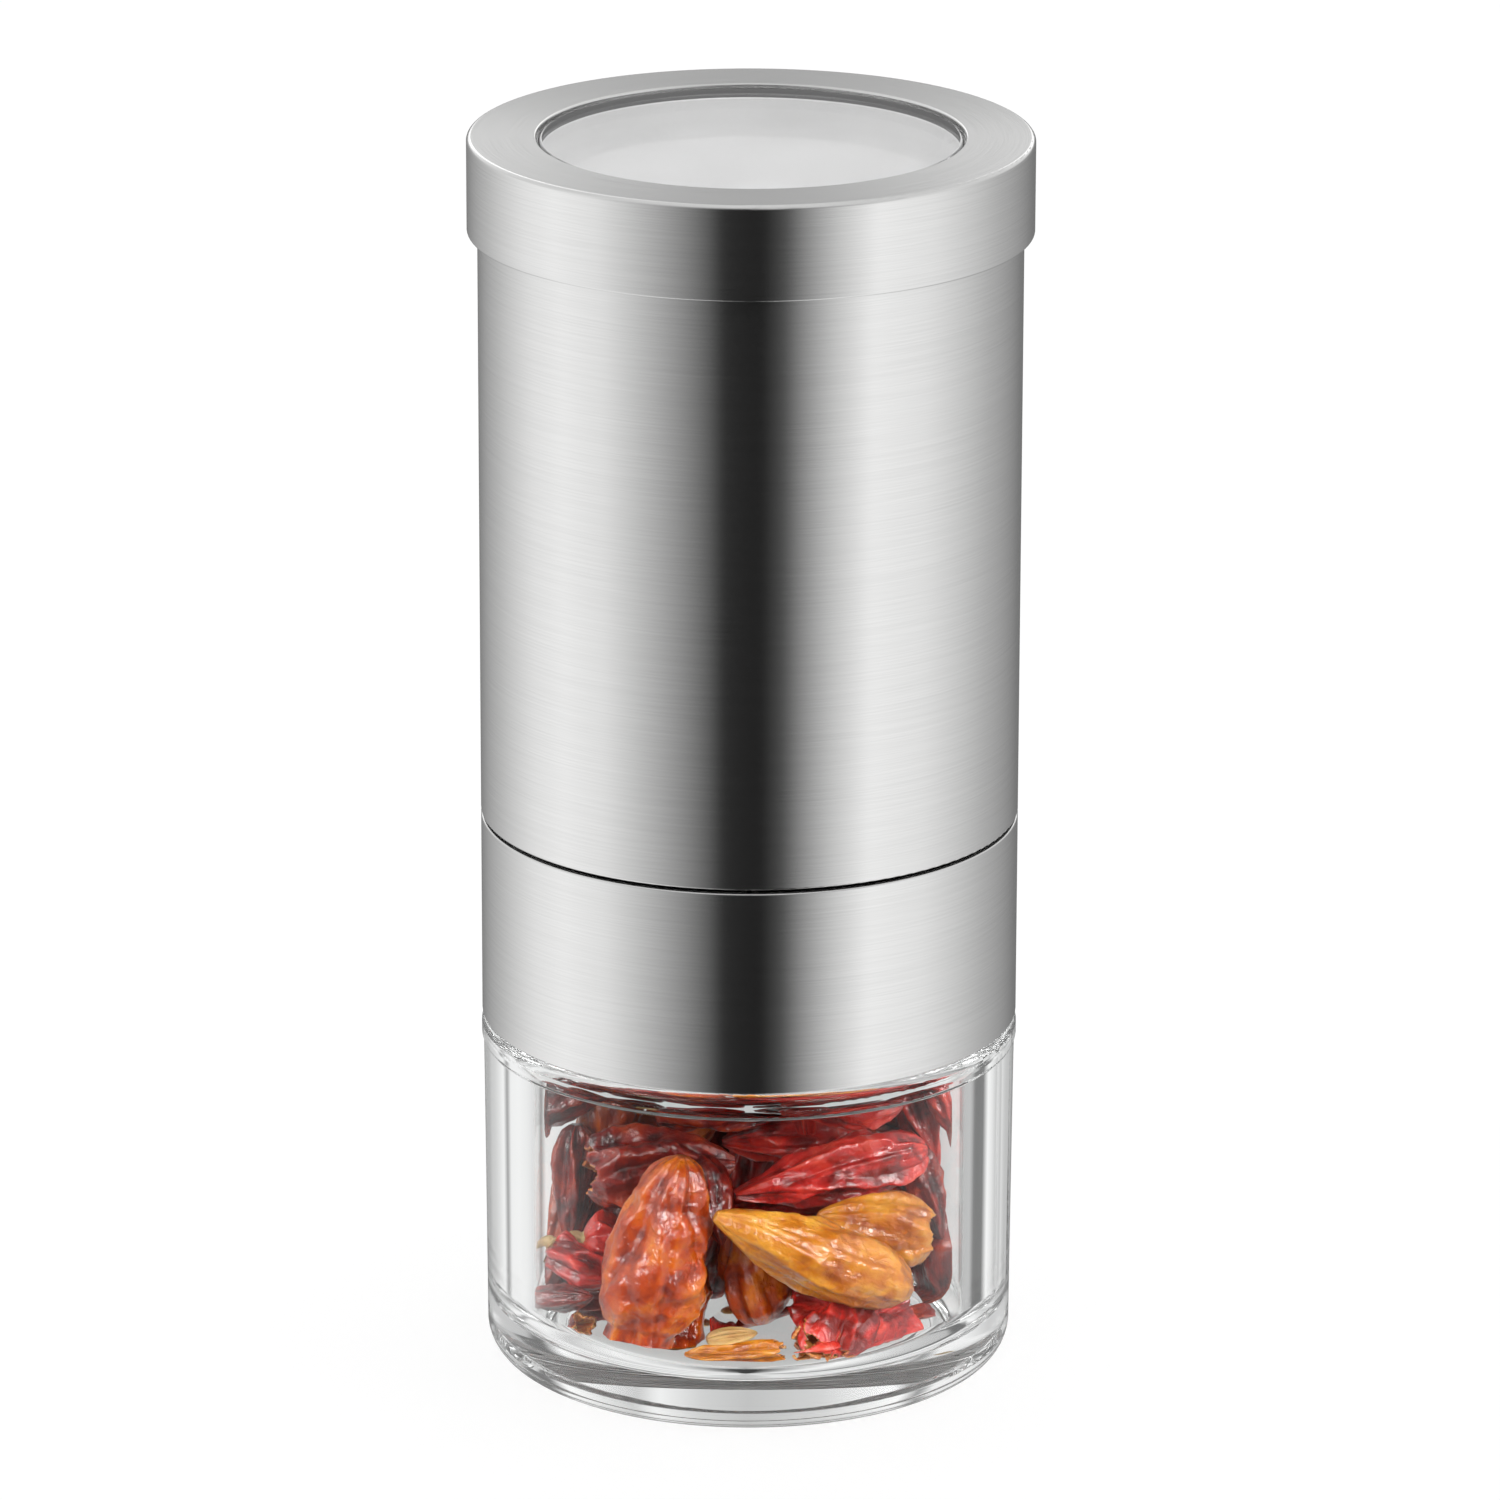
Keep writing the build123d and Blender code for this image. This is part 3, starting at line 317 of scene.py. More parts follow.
def makePod(name, look):
    shared = podFinish
    material, tree, body, _ = newMaterial(name, {
        "Subsurface Weight": look["skin"], "Subsurface Scale": shared["depth"],
        "Subsurface Radius": shared["spread"], "Coat Weight": look.get("coat", shared["coat"]),
        "Coat Roughness": shared["coatRough"], "Coat IOR": shared["coatIndex"],
        "Specular IOR Level": shared["gloss"]})
    skin = useGroup(tree, podSkin, {})
    blend = blended(tree, skin["Blotches"], shared["blotches"], skin["Streaks"], shared["streaks"])
    creaseShadeAndTone = put(tree, "Attribute", attribute_name="podDent").outputs["Fac"]
    # painted shade in the creases: where the skin has fallen in, the colour goes towards the deep tone; the
    # same value also carries some pods' own darker tone
    blend = maths(tree, "SUBTRACT", maths(tree, "ADD", blend, shared["lift"]),
                  maths(tree, "MULTIPLY", creaseShadeAndTone, shared["dents"]))
    tone = ramp(tree, blend, list(zip(shared["stops"], (look["deep"], look["mid"], look["light"]))))
    spots = rescaled(tree, skin["Freckles"], shared["freckles"], shared["freckleTone"])
    tone = mixed(tree, spots, tone, (*look["deep"], 1.0))
    tree.links.new(tone, body.inputs["Base Color"])
    rough = rescaled(tree, skin["Blotches"], shared["roughSpan"], shared["rough"])
    tree.links.new(rough, body.inputs["Roughness"])
    bump = bumped(tree, body, skin["Height"], shared["bump"], shared["bumpDepth"])
    tree.links.new(bump.outputs[0], body.inputs["Coat Normal"])
    return material


finishes = {}
makers = ((makeSteel, steelLook), (makePlastic, plasticLook), (makeGlass, glassLook), (makePod, podLook))
for makeFinish, looks in makers:
    for name, look in looks.items():
        finishes[name] = makeFinish(name, look)
for name, node in cadNodes.items():
    node.data.materials.clear()
    node.data.materials.append(finishes[slotOf[name]])
print("finishes made:", len(finishes))

podShape = dict(around=96, along=84, plump=1.08, skin=0.00035, belly=0.7, tip=0.25, weld=1e-6,
                stemCover=0.8, shoulder=0.12, dentShade=3.0, streak=90.0, tear=(1.8, 5.0),
                seedStep=(7.31, 3.17, 1.93))
# scale round and along the pod, step of the pattern, sharpness
podFolds = dict(broad=(1.1, 110.0, 1.0, 2.4), fold=(1.5, 70.0, 2.0, 4.5), cross=(1.1, 420.0, 3.0, 2.0),
                ripple=(2.6, 900.0, 1.0))
podDepths = dict(folds=0.34, creases=0.14, cross=0.5, ripple=0.02, most=0.6)
podExtras = dict(
    chili_upright=dict(dents=0.6, blunt=0.0044),
    chili_amber=dict(dents=0.4, plump=0.97),
    chili_centre=dict(dents=0.7),
    chili_crimson=dict(plump=1.2),
    chili_top_left=dict(torn=0.10, jag=0.10),
    chili_half=dict(torn=0.10, jag=0.10, dents=0.6, shade=0.1, plump=1.25, long=1.15),
    chili_leaf=dict(torn=0.88, jag=0.22, far=True, plump=1.5, blunt=0.0042, long=1.2),
    chili_flake=dict(torn=0.10, jag=0.10, plump=1.2, blunt=0.0015, long=1.25),
    chili_crumb=dict(torn=0.35, jag=0.25),
    chili_low_left=dict(torn=0.12, jag=0.15),
    chili_stemmed=dict(stem=0.22, plump=1.25),
    chili_back_left=dict(stem=0.18),
    chili_back_high_right=dict(stem=0.16),
    chili_top_rear=dict(stem=0.18),
)
stemShape = dict(sides=12, rings=10, thick=0.00085, bow=0.0006, ridges=5.0, ridge=0.14, slim=0.8, flare=0.25,
                 waist=0.4, cap=1.15, capFrom=0.72, capLong=0.28, capCurve=1.5)


def podFrame(node):
    # line, sides and ends of a CAD pod
    shell = bmesh.new()
    shell.from_mesh(node.data)
    bmesh.ops.remove_doubles(shell, verts=shell.verts, dist=podShape["weld"])
    tree = BVHTree.FromBMesh(shell)
    points = np.array([vert.co for vert in shell.verts])
    shell.free()
    middle = points.mean(0)
    axis = Vector(np.linalg.svd(points - middle, full_matrices=False)[2][0]).normalized()
    middle = Vector(middle)
    ahead = tree.ray_cast(middle, axis)[3]
    behind = tree.ray_cast(middle, -axis)[3]
    side = axis.orthogonal().normalized()
    other = axis.cross(side)
    widths = []
    for share in (0.25, 0.75):
        spot = middle + axis * (share * (ahead + behind) - behind)
        widths.append(sum(tree.ray_cast(spot, side * math.cos(a) + other * math.sin(a))[3] or 0.0
                          for a in (0.0, 1.6, 3.1, 4.7)))
    if widths[1] > widths[0]:  # the broad end comes first
        axis, other, ahead, behind = -axis, -other, behind, ahead
    return tree, middle, axis, side, other, behind, ahead


def podInset(around, share, length, shift, dents):
    # how far the skin has fallen in: broad dents, sharp folds and small ripples
    along = Vector((0, 0, share * length))

    def place(name):
        scales = podFolds[name]
        return around * scales[0] + along * scales[1] + shift * scales[2]

    broad, fold, cross = (podFolds[name][3] * abs(noise.noise(place(name)))
                          for name in ("broad", "fold", "cross"))
    ripple = noise.fractal(place("ripple"), 0.8, 2.0, 4)
    inset = podDepths["folds"] * min(1.0, broad)
    inset += podDepths["creases"] * max(0.0, 1.0 - fold)
    inset += podDepths["cross"] * podDepths["creases"] * min(1.0, cross)
    return min(dents * inset + podDepths["ripple"] * (1.0 + ripple), podDepths["most"])


def addStem(mesh, foot, axis, side, other, length, seed):
    # woody stem with a small cup where it meets the pod
    shape = stemShape
    stem = bmesh.new()
    bmesh.ops.create_cone(stem, cap_ends=True, cap_tris=False, segments=shape["sides"],
                          radius1=1.0, radius2=1.0, depth=1.0)
    walls = [edge for edge in stem.edges if abs(edge.verts[0].co.z - edge.verts[1].co.z) > 0.5]
    bmesh.ops.subdivide_edges(stem, edges=walls, cuts=shape["rings"])
    for vert in stem.verts:
        share = vert.co.z + 0.5
        angle = math.atan2(vert.co.y, vert.co.x)
        ridge = 1.0 + shape["ridge"] * math.sin(shape["ridges"] * angle + seed)
        wide = shape["thick"] * (shape["slim"] + shape["flare"] * abs(share - shape["waist"])) * ridge
        top = max(0.0, (share - shape["capFrom"]) / shape["capLong"])
        wide *= 1.0 + shape["cap"] * top ** shape["capCurve"]
        bow = shape["bow"] * math.sin(math.pi * share)
        spot = foot + axis * (length * share) + side * bow
        vert.co = spot + (side * vert.co.x + other * vert.co.y) * wide
    for face in stem.faces:
        face.material_index = 2
    data = bpy.data.meshes.new("stem")
    stem.to_mesh(data)
    stem.free()
    mesh.from_mesh(data)
    bpy.data.meshes.remove(data)


def finishMesh(mesh, name, looks):
    for face in mesh.faces:
        face.smooth = True
    data = bpy.data.meshes.new(name)
    mesh.to_mesh(data)
    mesh.free()
    for look in looks:
        data.materials.append(finishes[look])
    return data


def tearOff(mesh, places, extra):
    # takes one end away along a jagged line
    lost = []
    for face in mesh.faces:
        share = sum(places[vert][0] for vert in face.verts) / len(face.verts)
        edge = extra["torn"] + extra["jag"] * places[face.verts[0]][1]
        if (share > edge) == extra.get("far", False):
            lost.append(face)
    bmesh.ops.delete(mesh, geom=lost, context="FACES")


def wrapPod(name, finish, line, reachAt, seed, extra):
    # a ball is stretched along the pod's line, out to its envelope, and crumpled
    shape = podShape
    foot, axis, side, other, length = line
    start = shape["stemCover"] * extra.get("stem", 0.0)  # the stem takes the first part of the length
    shift = Vector([seed * step for step in shape["seedStep"]])
    mesh = bmesh.new()
    bmesh.ops.create_uvsphere(mesh, u_segments=extra.get("around", shape["around"]),
                              v_segments=extra.get("along", shape["along"]), radius=1.0)
    skin = mesh.verts.layers.float_vector.new("podSkin")
    creaseShadeAndTone = mesh.verts.layers.float.new("podDent")
    places = {}
    for vert in mesh.verts:
        body = min(max(0.5 - 0.5 * vert.co.z, 0.0), 1.0)
        share = start + (1.0 - start) * body
        angle = math.atan2(vert.co.y, vert.co.x)
        around = Vector((math.cos(angle), math.sin(angle), 0.0))
        out = side * around.x + other * around.y
        spot = foot + axis * (length * share)
        reach = reachAt(spot, out, share) if 0.0001 < body < 0.9999 else 0.0  # the poles stay on the line
        if start and body < shape["shoulder"]:
            reach *= math.sqrt(max(0.0, 1.0 - (1.0 - body / shape["shoulder"]) ** 2))
        inset = podInset(around, share, length, shift, extra.get("dents", 1.0))
        vert.co = intoHollow(spot + out * (reach * (1.0 - inset)))
        vert[skin] = Vector((around.x, around.y, share * length * shape["streak"])) + shift
        # painted shade in the folds: the deeper the skin has fallen in, the darker its colour; the extra
        # shade value adds the pod's own darker tone
        vert[creaseShadeAndTone] = min(1.0, shape["dentShade"] * inset) + extra.get("shade", 0.0)
        places[vert] = (share, noise.noise(around * shape["tear"][0] + shift * shape["tear"][1]))
    bmesh.ops.recalc_face_normals(mesh, faces=mesh.faces)
    if mesh.calc_volume(signed=True) < 0.0:
        bmesh.ops.reverse_faces(mesh, faces=mesh.faces)
    if "torn" in extra:
        tearOff(mesh, places, extra)
    if "stem" in extra:
        addStem(mesh, foot, axis, side, other, length * extra["stem"], seed)
    return finishMesh(mesh, name, (finish, "podInside", "podStem"))


def thicken(piece, thickness, inside):
    shell = piece.modifiers.new("skin", "SOLIDIFY")
    shell.thickness = thickness
    shell.use_even_offset = False
    shell.material_offset = shell.material_offset_rim = inside


def addPiece(name, data, node=None):
    piece = bpy.data.objects.new(name, data)
    bpy.context.collection.objects.link(piece)
    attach(piece, "jar")
    if node:
        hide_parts(node)
    return piece


def makePodMesh(name, seed):
    tree, middle, axis, side, other, behind, ahead = podFrame(cadNodes[name])
    extra = podExtras.get(name, {})
    plump = extra.get("plump", podShape["plump"])
    length = (ahead + behind) * extra.get("long", 1.0)
    foot = middle - axis * behind
    tipStart = 1.0 / podShape["tip"] - 1.0

    def cadReach(spot, out, share):
        tip = extra.get("blunt", 0.0) * math.sqrt(1.0 - max(0.0, share / podShape["tip"] - tipStart) ** 2)
        return max(plump * (tree.ray_cast(spot, out)[3] or 0.0), tip)

    data = wrapPod(name + "Skin", slotOf[name], (foot, axis, side, other, length), cadReach, seed, extra)
    piece = addPiece(name + "Skin", data, name)
    if "torn" in extra:
        thicken(piece, podShape["skin"], 1)
    return piece


def spindle(fat, flat, side, curve):
    # envelope of a pod that has no CAD solid, thinner on one side
    def reachAt(spot, out, share):
        wide = fat * math.sin(math.pi * share ** podShape["belly"]) ** curve
        return wide * (1.0 - flat * abs(out.dot(side)))
    return reachAt


# bits in front that lie over the others, in millimetres: from, to, half width, thin side
frontShape = dict(
    chiliLeafEnd=dict(start=(11.0, -10.5, 12.5), end=(8.4, -21.5, 5.2), fat=6.6, flat=0.8,
                      thin=(0.15, -0.6, 0.8), finish="chili_red",
                      extra=dict(torn=0.82, jag=0.25, far=True, shade=0.5)),
    chiliDeep=dict(start=(-4.8, -1.5, 6.5), end=(-3.4, -2.5, 21.5), fat=4.2, flat=0.2,
                   thin=(0.0, 1.0, 0.0), finish="chili_dark_red", extra=dict()),
    chiliSide=dict(start=(-22.6, -6.0, 14.6), end=(-12.5, -9.5, 11.6), fat=4.3, flat=0.15,
                   thin=(0.0, 0.4, 0.9), finish="chili_red", extra=dict(stem=0.16, dents=1.3)),
    chiliSideLow=dict(start=(-22.8, -7.0, 8.2), end=(-16.5, -11.0, 10.2), fat=2.7, flat=0.25,
                      thin=(0.0, 0.4, 0.9), finish="chili_dark_red", extra=dict(dents=1.2)),
    chiliChip=dict(start=(-4.5, -13.5, 6.0), end=(1.0, -12.0, 6.4), fat=1.8, flat=0.6,
                   thin=(0.0, -0.4, 0.9), finish="podSeed", extra=dict(dents=0.6)),
)
frontMake = dict(curve=0.6, firstSeed=80, scale=0.001)


def addFront():
    scale = frontMake["scale"]
    for seed, (name, look) in enumerate(frontShape.items(), frontMake["firstSeed"]):
        start, end = (Vector(look[key]) * scale for key in ("start", "end"))
        axis = (end - start).normalized()
        other = axis.cross(Vector(look["thin"])).normalized()
        side = other.cross(axis)
        envelope = spindle(scale * look["fat"], look["flat"], side, frontMake["curve"])
        line = (start, axis, side, other, (end - start).length)
        data = wrapPod(name, look["finish"], line, envelope, seed, look["extra"])
        pods.append(addPiece(name, data))
        if "torn" in look["extra"]:
            thicken(pods[-1], podShape["skin"], 1)


# more pods fill the heap where one could look right through it, behind the pods in front;
# each pass has the turns of its lines of sight and the number of pods to stop at
fillShape = dict(
    passes=(((0,), 14), ((7, 1), 20), (range(8), 36)), turns=8, tilt=18.0, cells=17,
    steps=(-0.8, -0.6, -0.4, -0.2, 0.0, 0.2, 0.4, 0.6, 0.8), reach=0.0237, edge=0.96, low=0.0068, high=0.0300,
    back=0.004, room=1.3, fat=(0.0032, 0.0050), vary=(0.85, 1.15), slim=3.6, flat=0.2, curve=0.7, lean=0.6,
    middle=0.45, seed=21, firstSeed=40, around=56, along=48,
    # most fill pods are dark red, a real chili colour, but chosen so the gaps behind the front pods stay
    # dark: partly painted shade
    finishes=("chili_dark_red", "chili_dark_red", "chili_red", "chili_dark_red", "chili_orange"))


def podTree(members):
    group = bmesh.new()
    for pod in members:
        group.from_mesh(pod.data)
    tree = BVHTree.FromBMesh(group)
    group.free()
    return tree


def sightLines(turns):
    # parallel lines of sight through the heap
    look = fillShape
    tilt = math.radians(look["tilt"])
    last = look["cells"] - 1
    lines = []
    for turn in turns:
        angle = 2.0 * math.pi * turn / look["turns"]
        ahead = Vector((-math.sin(angle) * math.cos(tilt), math.cos(angle) * math.cos(tilt), -math.sin(tilt)))
        across = Vector((math.cos(angle), math.sin(angle), 0.0))
        for column in range(look["cells"]):
            shift = look["reach"] * (2.0 * column / last - 1.0) * look["edge"]
            half = math.sqrt(look["reach"] ** 2 - shift ** 2)
            for row in range(look["cells"]):
                level = look["low"] + (look["high"] - look["low"]) * row / last
                lines.append((across * shift + Vector((0, 0, level)), ahead, half))
    return lines


def openLines(lines, tree):
    return [line for line in lines
            if tree.ray_cast(line[0] - line[1] * line[2], line[1], 2.0 * line[2])[0] is None]


def roomiest(lines, trees, front):
    # the free point furthest from all pods, hidden from the front or behind the middle
    look = fillShape
    best = (0.0, None, None)
    for middle, ahead, half in lines:
        for step in look["steps"]:
            spot = middle + ahead * (half * step)
            if not look["low"] < spot.z < look["high"]:
                continue
            if spot.y < look["back"] and trees[0].ray_cast(spot, -front)[0] is None:
                continue
            room = min(tree.find_nearest(spot)[3] for tree in trees)
            if room > best[0]:
                best = (room, spot, ahead)
    return best


def addFill(number, room, spot, ahead, dice):
    look = fillShape
    fat = min(max(look["room"] * room, look["fat"][0]), look["fat"][1])
    length = fat * dice.uniform(*look["vary"]) * look["slim"]
    toss = Vector((dice.uniform(-1, 1), dice.uniform(-1, 1), dice.uniform(-look["lean"], look["lean"])))
    axis = ahead.cross(toss).normalized()
    side = axis.orthogonal().normalized()
    line = (spot - axis * (look["middle"] * length), axis, side, axis.cross(side), length)
    finish = look["finishes"][number % len(look["finishes"])]
    name = "chiliFill%02d" % number
    data = wrapPod(name, finish, line, spindle(fat, look["flat"], side, look["curve"]),
                   look["firstSeed"] + number, dict(around=look["around"], along=look["along"]))
    pods.append(addPiece(name, data))


def fillHeap():
    dice = random.Random(fillShape["seed"])
    trees = [podTree(pods)]
    front = sightLines([0])[0][1]
    number = 0
    for turns, count in fillShape["passes"]:
        lines = sightLines(turns)
        for tree in trees:
            lines = openLines(lines, tree)
        while lines and number < count:
            room, spot, ahead = roomiest(lines, trees, front)
            if spot is None:
                break
            number += 1
            addFill(number, room, spot, ahead, dice)
            trees.append(podTree(pods[-1:]))
            lines = openLines(lines, trees[-1])
        print("pods in the heap:", len(pods), "open lines of sight:", len(lines))


# room for the chilies inside the jar
hollow = dict(reach=0.02405, low=0.0048, high=0.0362, corner=0.0040, scatter=0.0195)
# torn flakes and seeds lie on the jar's floor
scrapShape = dict(count=8, tries=4000, cells=9, size=(0.0022, 0.0040), wide=(0.6, 1.0), curl=(0.8, 1.6),
                  tilt=0.3, taper=0.35, ragged=0.25, wavy=0.3, rise=0.7, lift=(0.0004, 0.0012),
                  clear=0.0009, spread=0.0040, skin=0.0002, seed=11,
                  finishes=("chili_dark_red", "chili_red", "chili_amber"))
seedShape = dict(count=10, tries=4000, around=10, along=6, size=0.0010, long=1.15, wide=0.95, flat=0.3,
                 tilt=0.2, lift=(0.0, 0.0003), clear=0.0009, spread=0.0024, seed=5)


def intoHollow(spot):
    # keeps a point inside the jar: off the floor, off the wall and out of the rounded corner
    flat = math.hypot(spot.x, spot.y)
    level = min(max(spot.z, hollow["low"]), hollow["high"])
    most = hollow["reach"]
    rise = hollow["low"] + hollow["corner"] - level
    if rise > 0.0:
        most -= hollow["corner"] - math.sqrt(max(0.0, hollow["corner"] ** 2 - rise ** 2))
    squeeze = min(1.0, most / flat) if flat else 1.0
    return Vector((spot.x * squeeze, spot.y * squeeze, level))


def findGaps(tree, look):
    # free places near the floor, between the pods
    low, high = (hollow["low"] + lift for lift in look["lift"])
    dice = random.Random(look["seed"])
    found = []
    for _ in range(look["tries"]):
        turn, reach = dice.uniform(0, 2 * math.pi), hollow["scatter"] * math.sqrt(dice.random())
        spot = Vector((reach * math.cos(turn), reach * math.sin(turn), dice.uniform(low, high)))
        near = tree.find_nearest(spot)
        inside = (spot - near[0]).dot(near[1]) < 0.0
        crowded = any((spot - other).length < look["spread"] for other in found)
        if inside or crowded or near[3] < look["clear"]:
            continue
        found.append(spot)
        if len(found) == look["count"]:
            break
    return found, dice


def looseTurn(dice, tilt):
    # almost flat, turned any way
    return Euler((dice.uniform(-tilt, tilt), dice.uniform(-tilt, tilt), dice.uniform(0, 6.28))).to_matrix()


def makeScraps(tree):
    look = scrapShape
    spots, dice = findGaps(tree, look)
    mesh = bmesh.new()
    skin = mesh.verts.layers.float_vector.new("podSkin")
    for number, spot in enumerate(spots):
        made = bmesh.ops.create_grid(mesh, x_segments=look["cells"], y_segments=look["cells"],
                                     size=1.0)["verts"]
        long, wide = dice.uniform(*look["size"]), dice.uniform(*look["wide"]) * look["size"][0]
        turn = looseTurn(dice, look["tilt"])
        shift = Vector((number * 2.7, number * 1.3, 0.0))
        curl = dice.uniform(*look["curl"])
        for vert in made:
            u, v = vert.co.x, vert.co.y
            edge = noise.noise(Vector((v * 2.0, 0.0, 0.0)) + shift)
            u *= 1.0 - look["taper"] * abs(v) ** 2 + look["ragged"] * edge
            lift = look["wavy"] * noise.noise(Vector((u * 1.6, v * 1.6, 0.5)) + shift)
            rise = (1.0 - math.cos(v * curl) + lift) * look["rise"] * wide
            bend = Vector((u * long, math.sin(v * curl) * wide, rise))
            vert[skin] = Vector((u * 2.0, v * 2.0, 0.0)) + shift
            vert.co = intoHollow(spot + turn @ bend)
        for face in {face for vert in made for face in vert.link_faces}:
            face.material_index = number % len(look["finishes"])
    data = finishMesh(mesh, "chiliScraps", look["finishes"])
    thicken(addPiece("chiliScraps", data), look["skin"], 0)
    print("torn skins made:", len(spots))


def makeSeeds(tree):
    look = seedShape
    spots, dice = findGaps(tree, look)
    mesh = bmesh.new()
    for spot in spots:
        made = bmesh.ops.create_uvsphere(mesh, u_segments=look["around"], v_segments=look["along"],
                                         radius=look["size"])["verts"]
        turn = looseTurn(dice, look["tilt"])
        for vert in made:
            squash = Vector((vert.co.x * look["long"], vert.co.y * look["wide"], vert.co.z * look["flat"]))
            vert.co = spot + turn @ squash
    addPiece("chiliSeeds", finishMesh(mesh, "chiliSeeds", ("podSeed",)))
    print("seeds made:", len(spots))


podNames = sorted(name for name in cadNodes if name.startswith("chili_"))
pods = [makePodMesh(name, index + 1) for index, name in enumerate(podNames)]
addFront()
fillHeap()
crowd = podTree(pods)
makeScraps(crowd)
makeSeeds(crowd)

# brightness round the studio by turn, 0.5 is at the camera: for mirrored rays, for those that rise,
# and for those that pass through glass
studio = dict(
    floorSize=3.0, floorDrop=0.0001, floorTone=0.95, floorWhite=0.85, sky=1.15, skyMirrored=0.8,
    rise=(0.05, 0.2), zenith=(0.45, 0.8),
    mirrored=[(0.0, 0.14), (0.05, 0.28), (0.13, 0.60), (0.21, 1.0), (0.26, 1.12), (0.32, 0.98),
              (0.40, 0.46), (0.445, 0.17), (0.468, 0.02), (0.515, 0.008), (0.54, 0.08), (0.60, 0.73),
              (0.645, 1.14), (0.72, 1.0), (0.83, 0.55), (0.94, 0.22), (1.0, 0.14)],
    above=[(0.0, 0.50), (0.006, 0.52), (0.014, 1.6), (0.045, 1.5), (0.07, 0.9), (0.19, 0.8),
           (0.30, 0.9), (0.40, 0.5), (0.5, 0.1), (0.60, 0.5), (0.70, 0.9), (0.82, 0.8),
           (0.93, 0.9), (0.955, 1.5), (0.986, 1.6), (0.994, 0.52), (1.0, 0.50)],
    through=[(0.0, 0.55), (0.03, 0.65), (0.07, 1.0), (0.083, 0.25), (0.094, 0.9), (0.13, 0.9),
             (0.17, 0.6), (0.25, 0.9), (0.36, 0.6), (0.465, 0.06), (0.52, 0.05), (0.58, 0.4),
             (0.68, 0.95), (0.80, 0.6), (0.862, 0.5), (0.872, 0.15), (0.895, 0.15), (0.91, 1.0),
             (0.93, 0.8), (0.95, 0.6), (0.96, 0.9), (0.98, 0.65), (1.0, 0.55)],
)


def makeStudio():
    world = bpy.data.worlds.new("studio")
    bpy.context.scene.world = world
    world.use_nodes = True
    tree = world.node_tree
    tree.nodes.clear()
    toward = put(tree, "SeparateXYZ", {0: put(tree, "TexCoord").outputs["Generated"]}).outputs
    turn = maths(tree, "ARCTAN2", toward[0], maths(tree, "MULTIPLY", toward[1], -1.0))
    turn = maths(tree, "ADD", maths(tree, "DIVIDE", turn, 2.0 * math.pi), 0.5)
    ray = put(tree, "LightPath").outputs
    mirrored, above, through = (ramp(tree, turn, [(place, grey(level)) for place, level in studio[name]])
                                for name in ("mirrored", "above", "through"))
    seen = mixed(tree, rescaled(tree, toward[2], studio["rise"]), mirrored, above)
    seen = mixed(tree, ray["Is Transmission Ray"], seen, through)
    high = mixed(tree, ray["Is Glossy Ray"], (*grey(studio["sky"]), 1.0), (*grey(studio["skyMirrored"]), 1.0))
    sky = mixed(tree, rescaled(tree, toward[2], studio["zenith"]), seen, high)
    tone = mixed(tree, ray["Is Camera Ray"], sky, (*grey(1.0), 1.0))
    back = put(tree, "Background", {"Color": tone, "Strength": 1.0})
    put(tree, "OutputWorld", {"Surface": back.outputs[0]})


def makeFloor():
    mesh = bmesh.new()
    bmesh.ops.create_grid(mesh, x_segments=1, y_segments=1, size=studio["floorSize"] / 2)
    data = bpy.data.meshes.new("floor")
    mesh.to_mesh(data)
    mesh.free()
    floor = bpy.data.objects.new("floor", data)
    bpy.context.collection.objects.link(floor)
    floor.location.z = -studio["floorDrop"]
    floor.visible_glossy = False
    floor.visible_transmission = False
    material, tree, body, out = newMaterial("floorPaper", {
        "Base Color": (*grey(studio["floorTone"]), 1.0), "Roughness": 0.9, "Specular IOR Level": 0.1})
    # seen straight on, the paper is almost pure white
    ray = put(tree, "LightPath").outputs["Is Camera Ray"]
    glow = put(tree, "Emission", {"Color": (*grey(1.0), 1.0), "Strength": 1.0}).outputs[0]
    share = maths(tree, "MULTIPLY", ray, studio["floorWhite"])
    mix = put(tree, "MixShader", {0: share, 1: body.outputs[0], 2: glow})
    tree.links.new(mix.outputs[0], out.inputs["Surface"])
    data.materials.append(material)


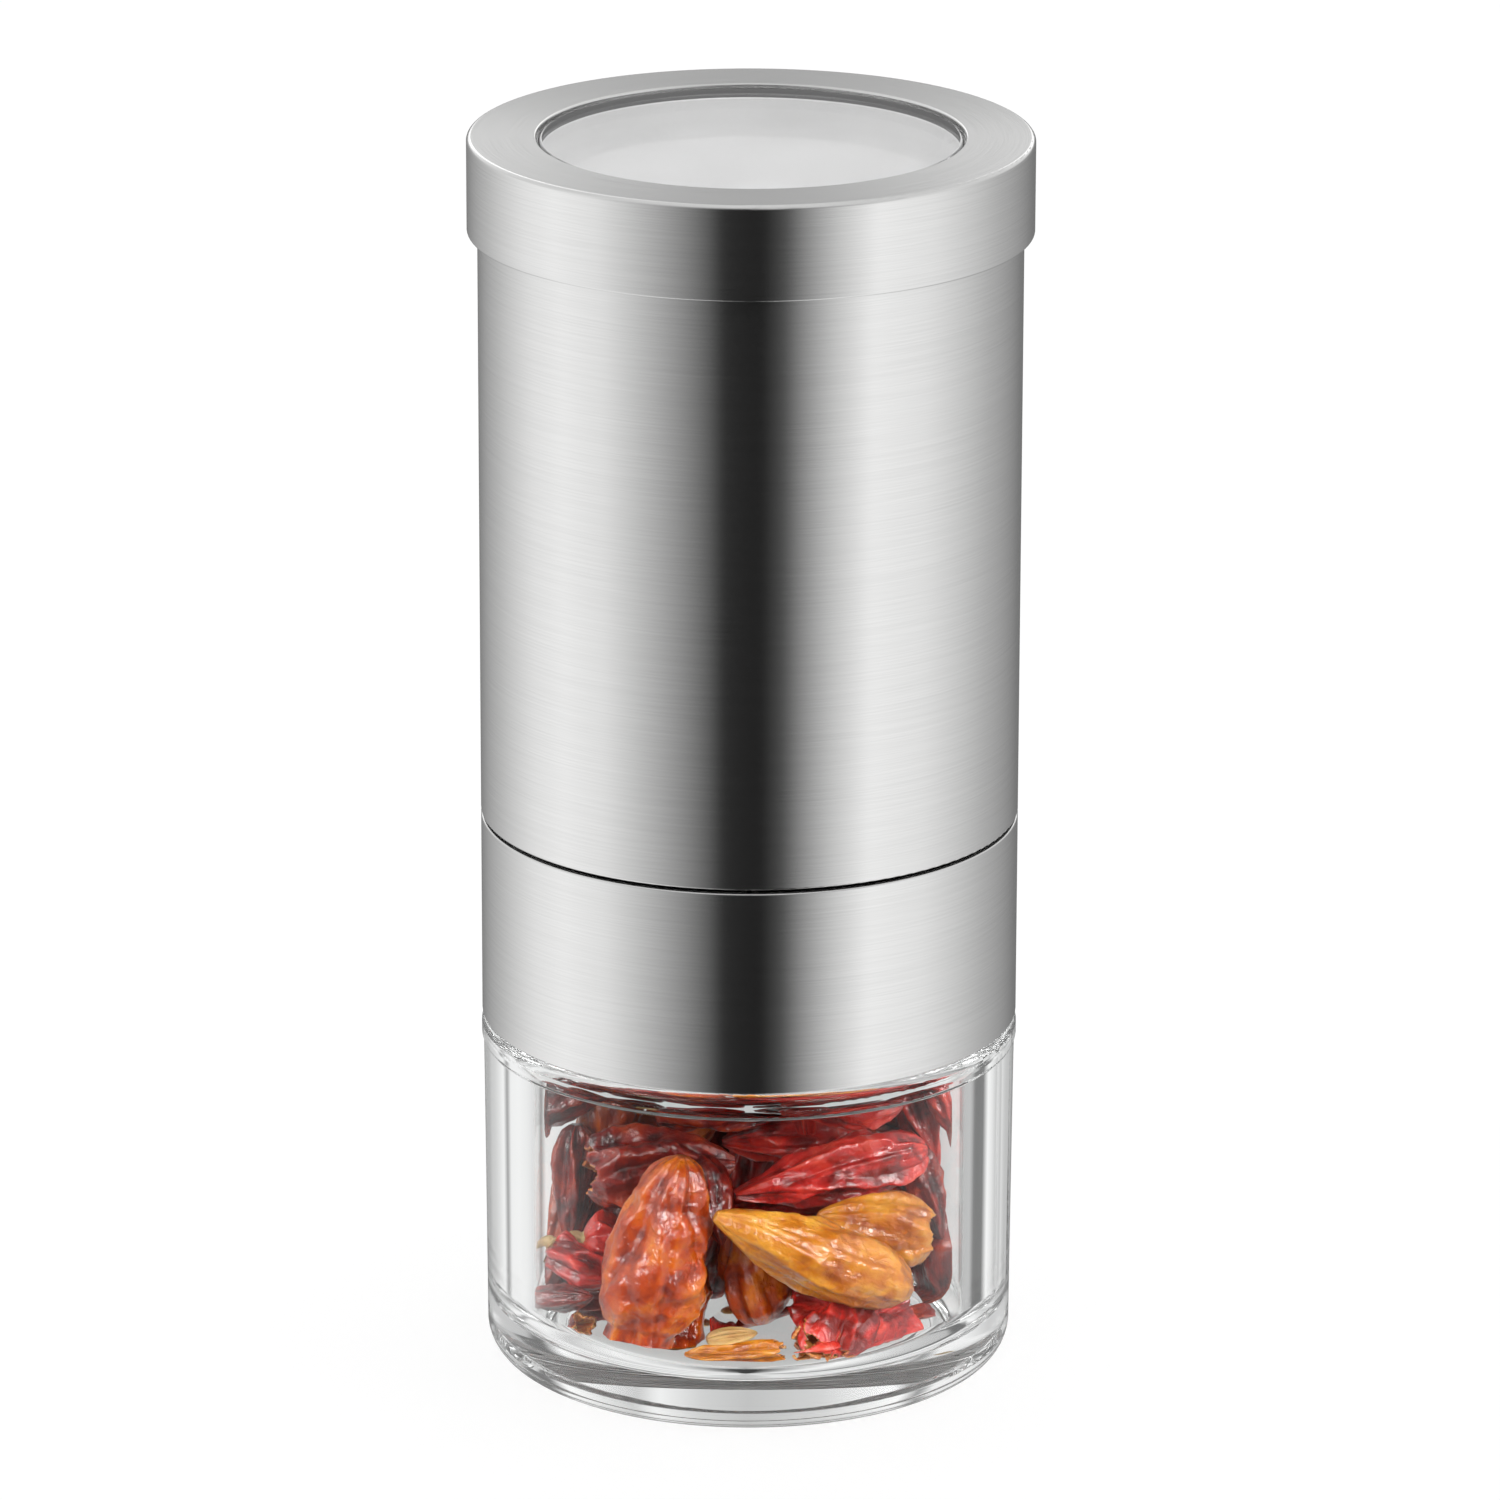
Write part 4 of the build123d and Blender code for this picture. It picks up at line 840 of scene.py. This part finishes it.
# the last three light only what they name
lamps = dict(
    top=dict(place=(0.1, 0.1, 1.3), aim=(0, 0, 0.07), size=(0.9, 0.9), power=4.0),
    left=dict(place=(-0.9, -0.75, 0.75), aim=(0, 0, 0.06), size=(0.35, 0.9), power=1.5),
    right=dict(place=(1.0, -0.45, 0.75), aim=(0, 0, 0.06), size=(0.35, 0.9), power=1.5),
    podKey=dict(place=(0.52, -0.74, 0.60), aim=(0, 0, 0.02), size=(0.42, 0.50), power=8.0,
                only=("chili", "glass_jar")),
    podFill=dict(place=(-0.60, -0.68, 0.56), aim=(0, 0, 0.02), size=(0.42, 0.50), power=5.0,
                 only=("chili", "glass_jar")),
    podBack=dict(place=(0.30, 0.86, 0.58), aim=(0, 0, 0.02), size=(0.42, 0.50), power=3.5,
                 only=("chili",)),
)


def makeLamp(name, look):
    data = bpy.data.lights.new(name, "AREA")
    data.shape = "RECTANGLE"
    data.size, data.size_y = look["size"]
    data.energy = look["power"]
    lamp = bpy.data.objects.new(name, data)
    bpy.context.collection.objects.link(lamp)
    lamp.location = look["place"]
    lamp.rotation_euler = (Vector(look["aim"]) - Vector(look["place"])).to_track_quat("-Z", "Y").to_euler()
    lamp.visible_camera = False
    lamp.visible_glossy = "only" in look  # the broad lamps leave no glints on the steel
    if "only" in look:
        lit = bpy.data.collections.new(name + "Lit")
        for piece in bpy.data.objects:
            if piece.name.startswith(look["only"]):
                lit.objects.link(piece)
        lamp.light_linking.receiver_collection = lit


shot = dict(place=(0.00004, -0.9794, 0.3850), pitch=17.83, roll=0.14, lens=223.13, sensor=36.0,
            clip=(0.05, 20.0))


def makeCamera():
    data = bpy.data.cameras.new("shot")
    data.lens = shot["lens"]
    data.sensor_width = shot["sensor"]
    data.clip_start, data.clip_end = shot["clip"]
    camera = bpy.data.objects.new("shot", data)
    bpy.context.collection.objects.link(camera)
    camera.location = shot["place"]
    camera.rotation_mode = "ZYX"
    camera.rotation_euler = (math.radians(90.0 - shot["pitch"]), 0.0, math.radians(shot["roll"]))
    bpy.context.scene.camera = camera


# light stays trapped in thick glass for many bounces
lightPaths = dict(max_bounces=32, glossy_bounces=24, transmission_bounces=32)

makeStudio()
makeFloor()
for name, limit in lightPaths.items():
    setattr(bpy.context.scene.cycles, name, limit)
for name, look in lamps.items():
    makeLamp(name, look)
makeCamera()
bpy.context.scene.view_settings.view_transform = "Standard"
print("stage, lamps and camera made")
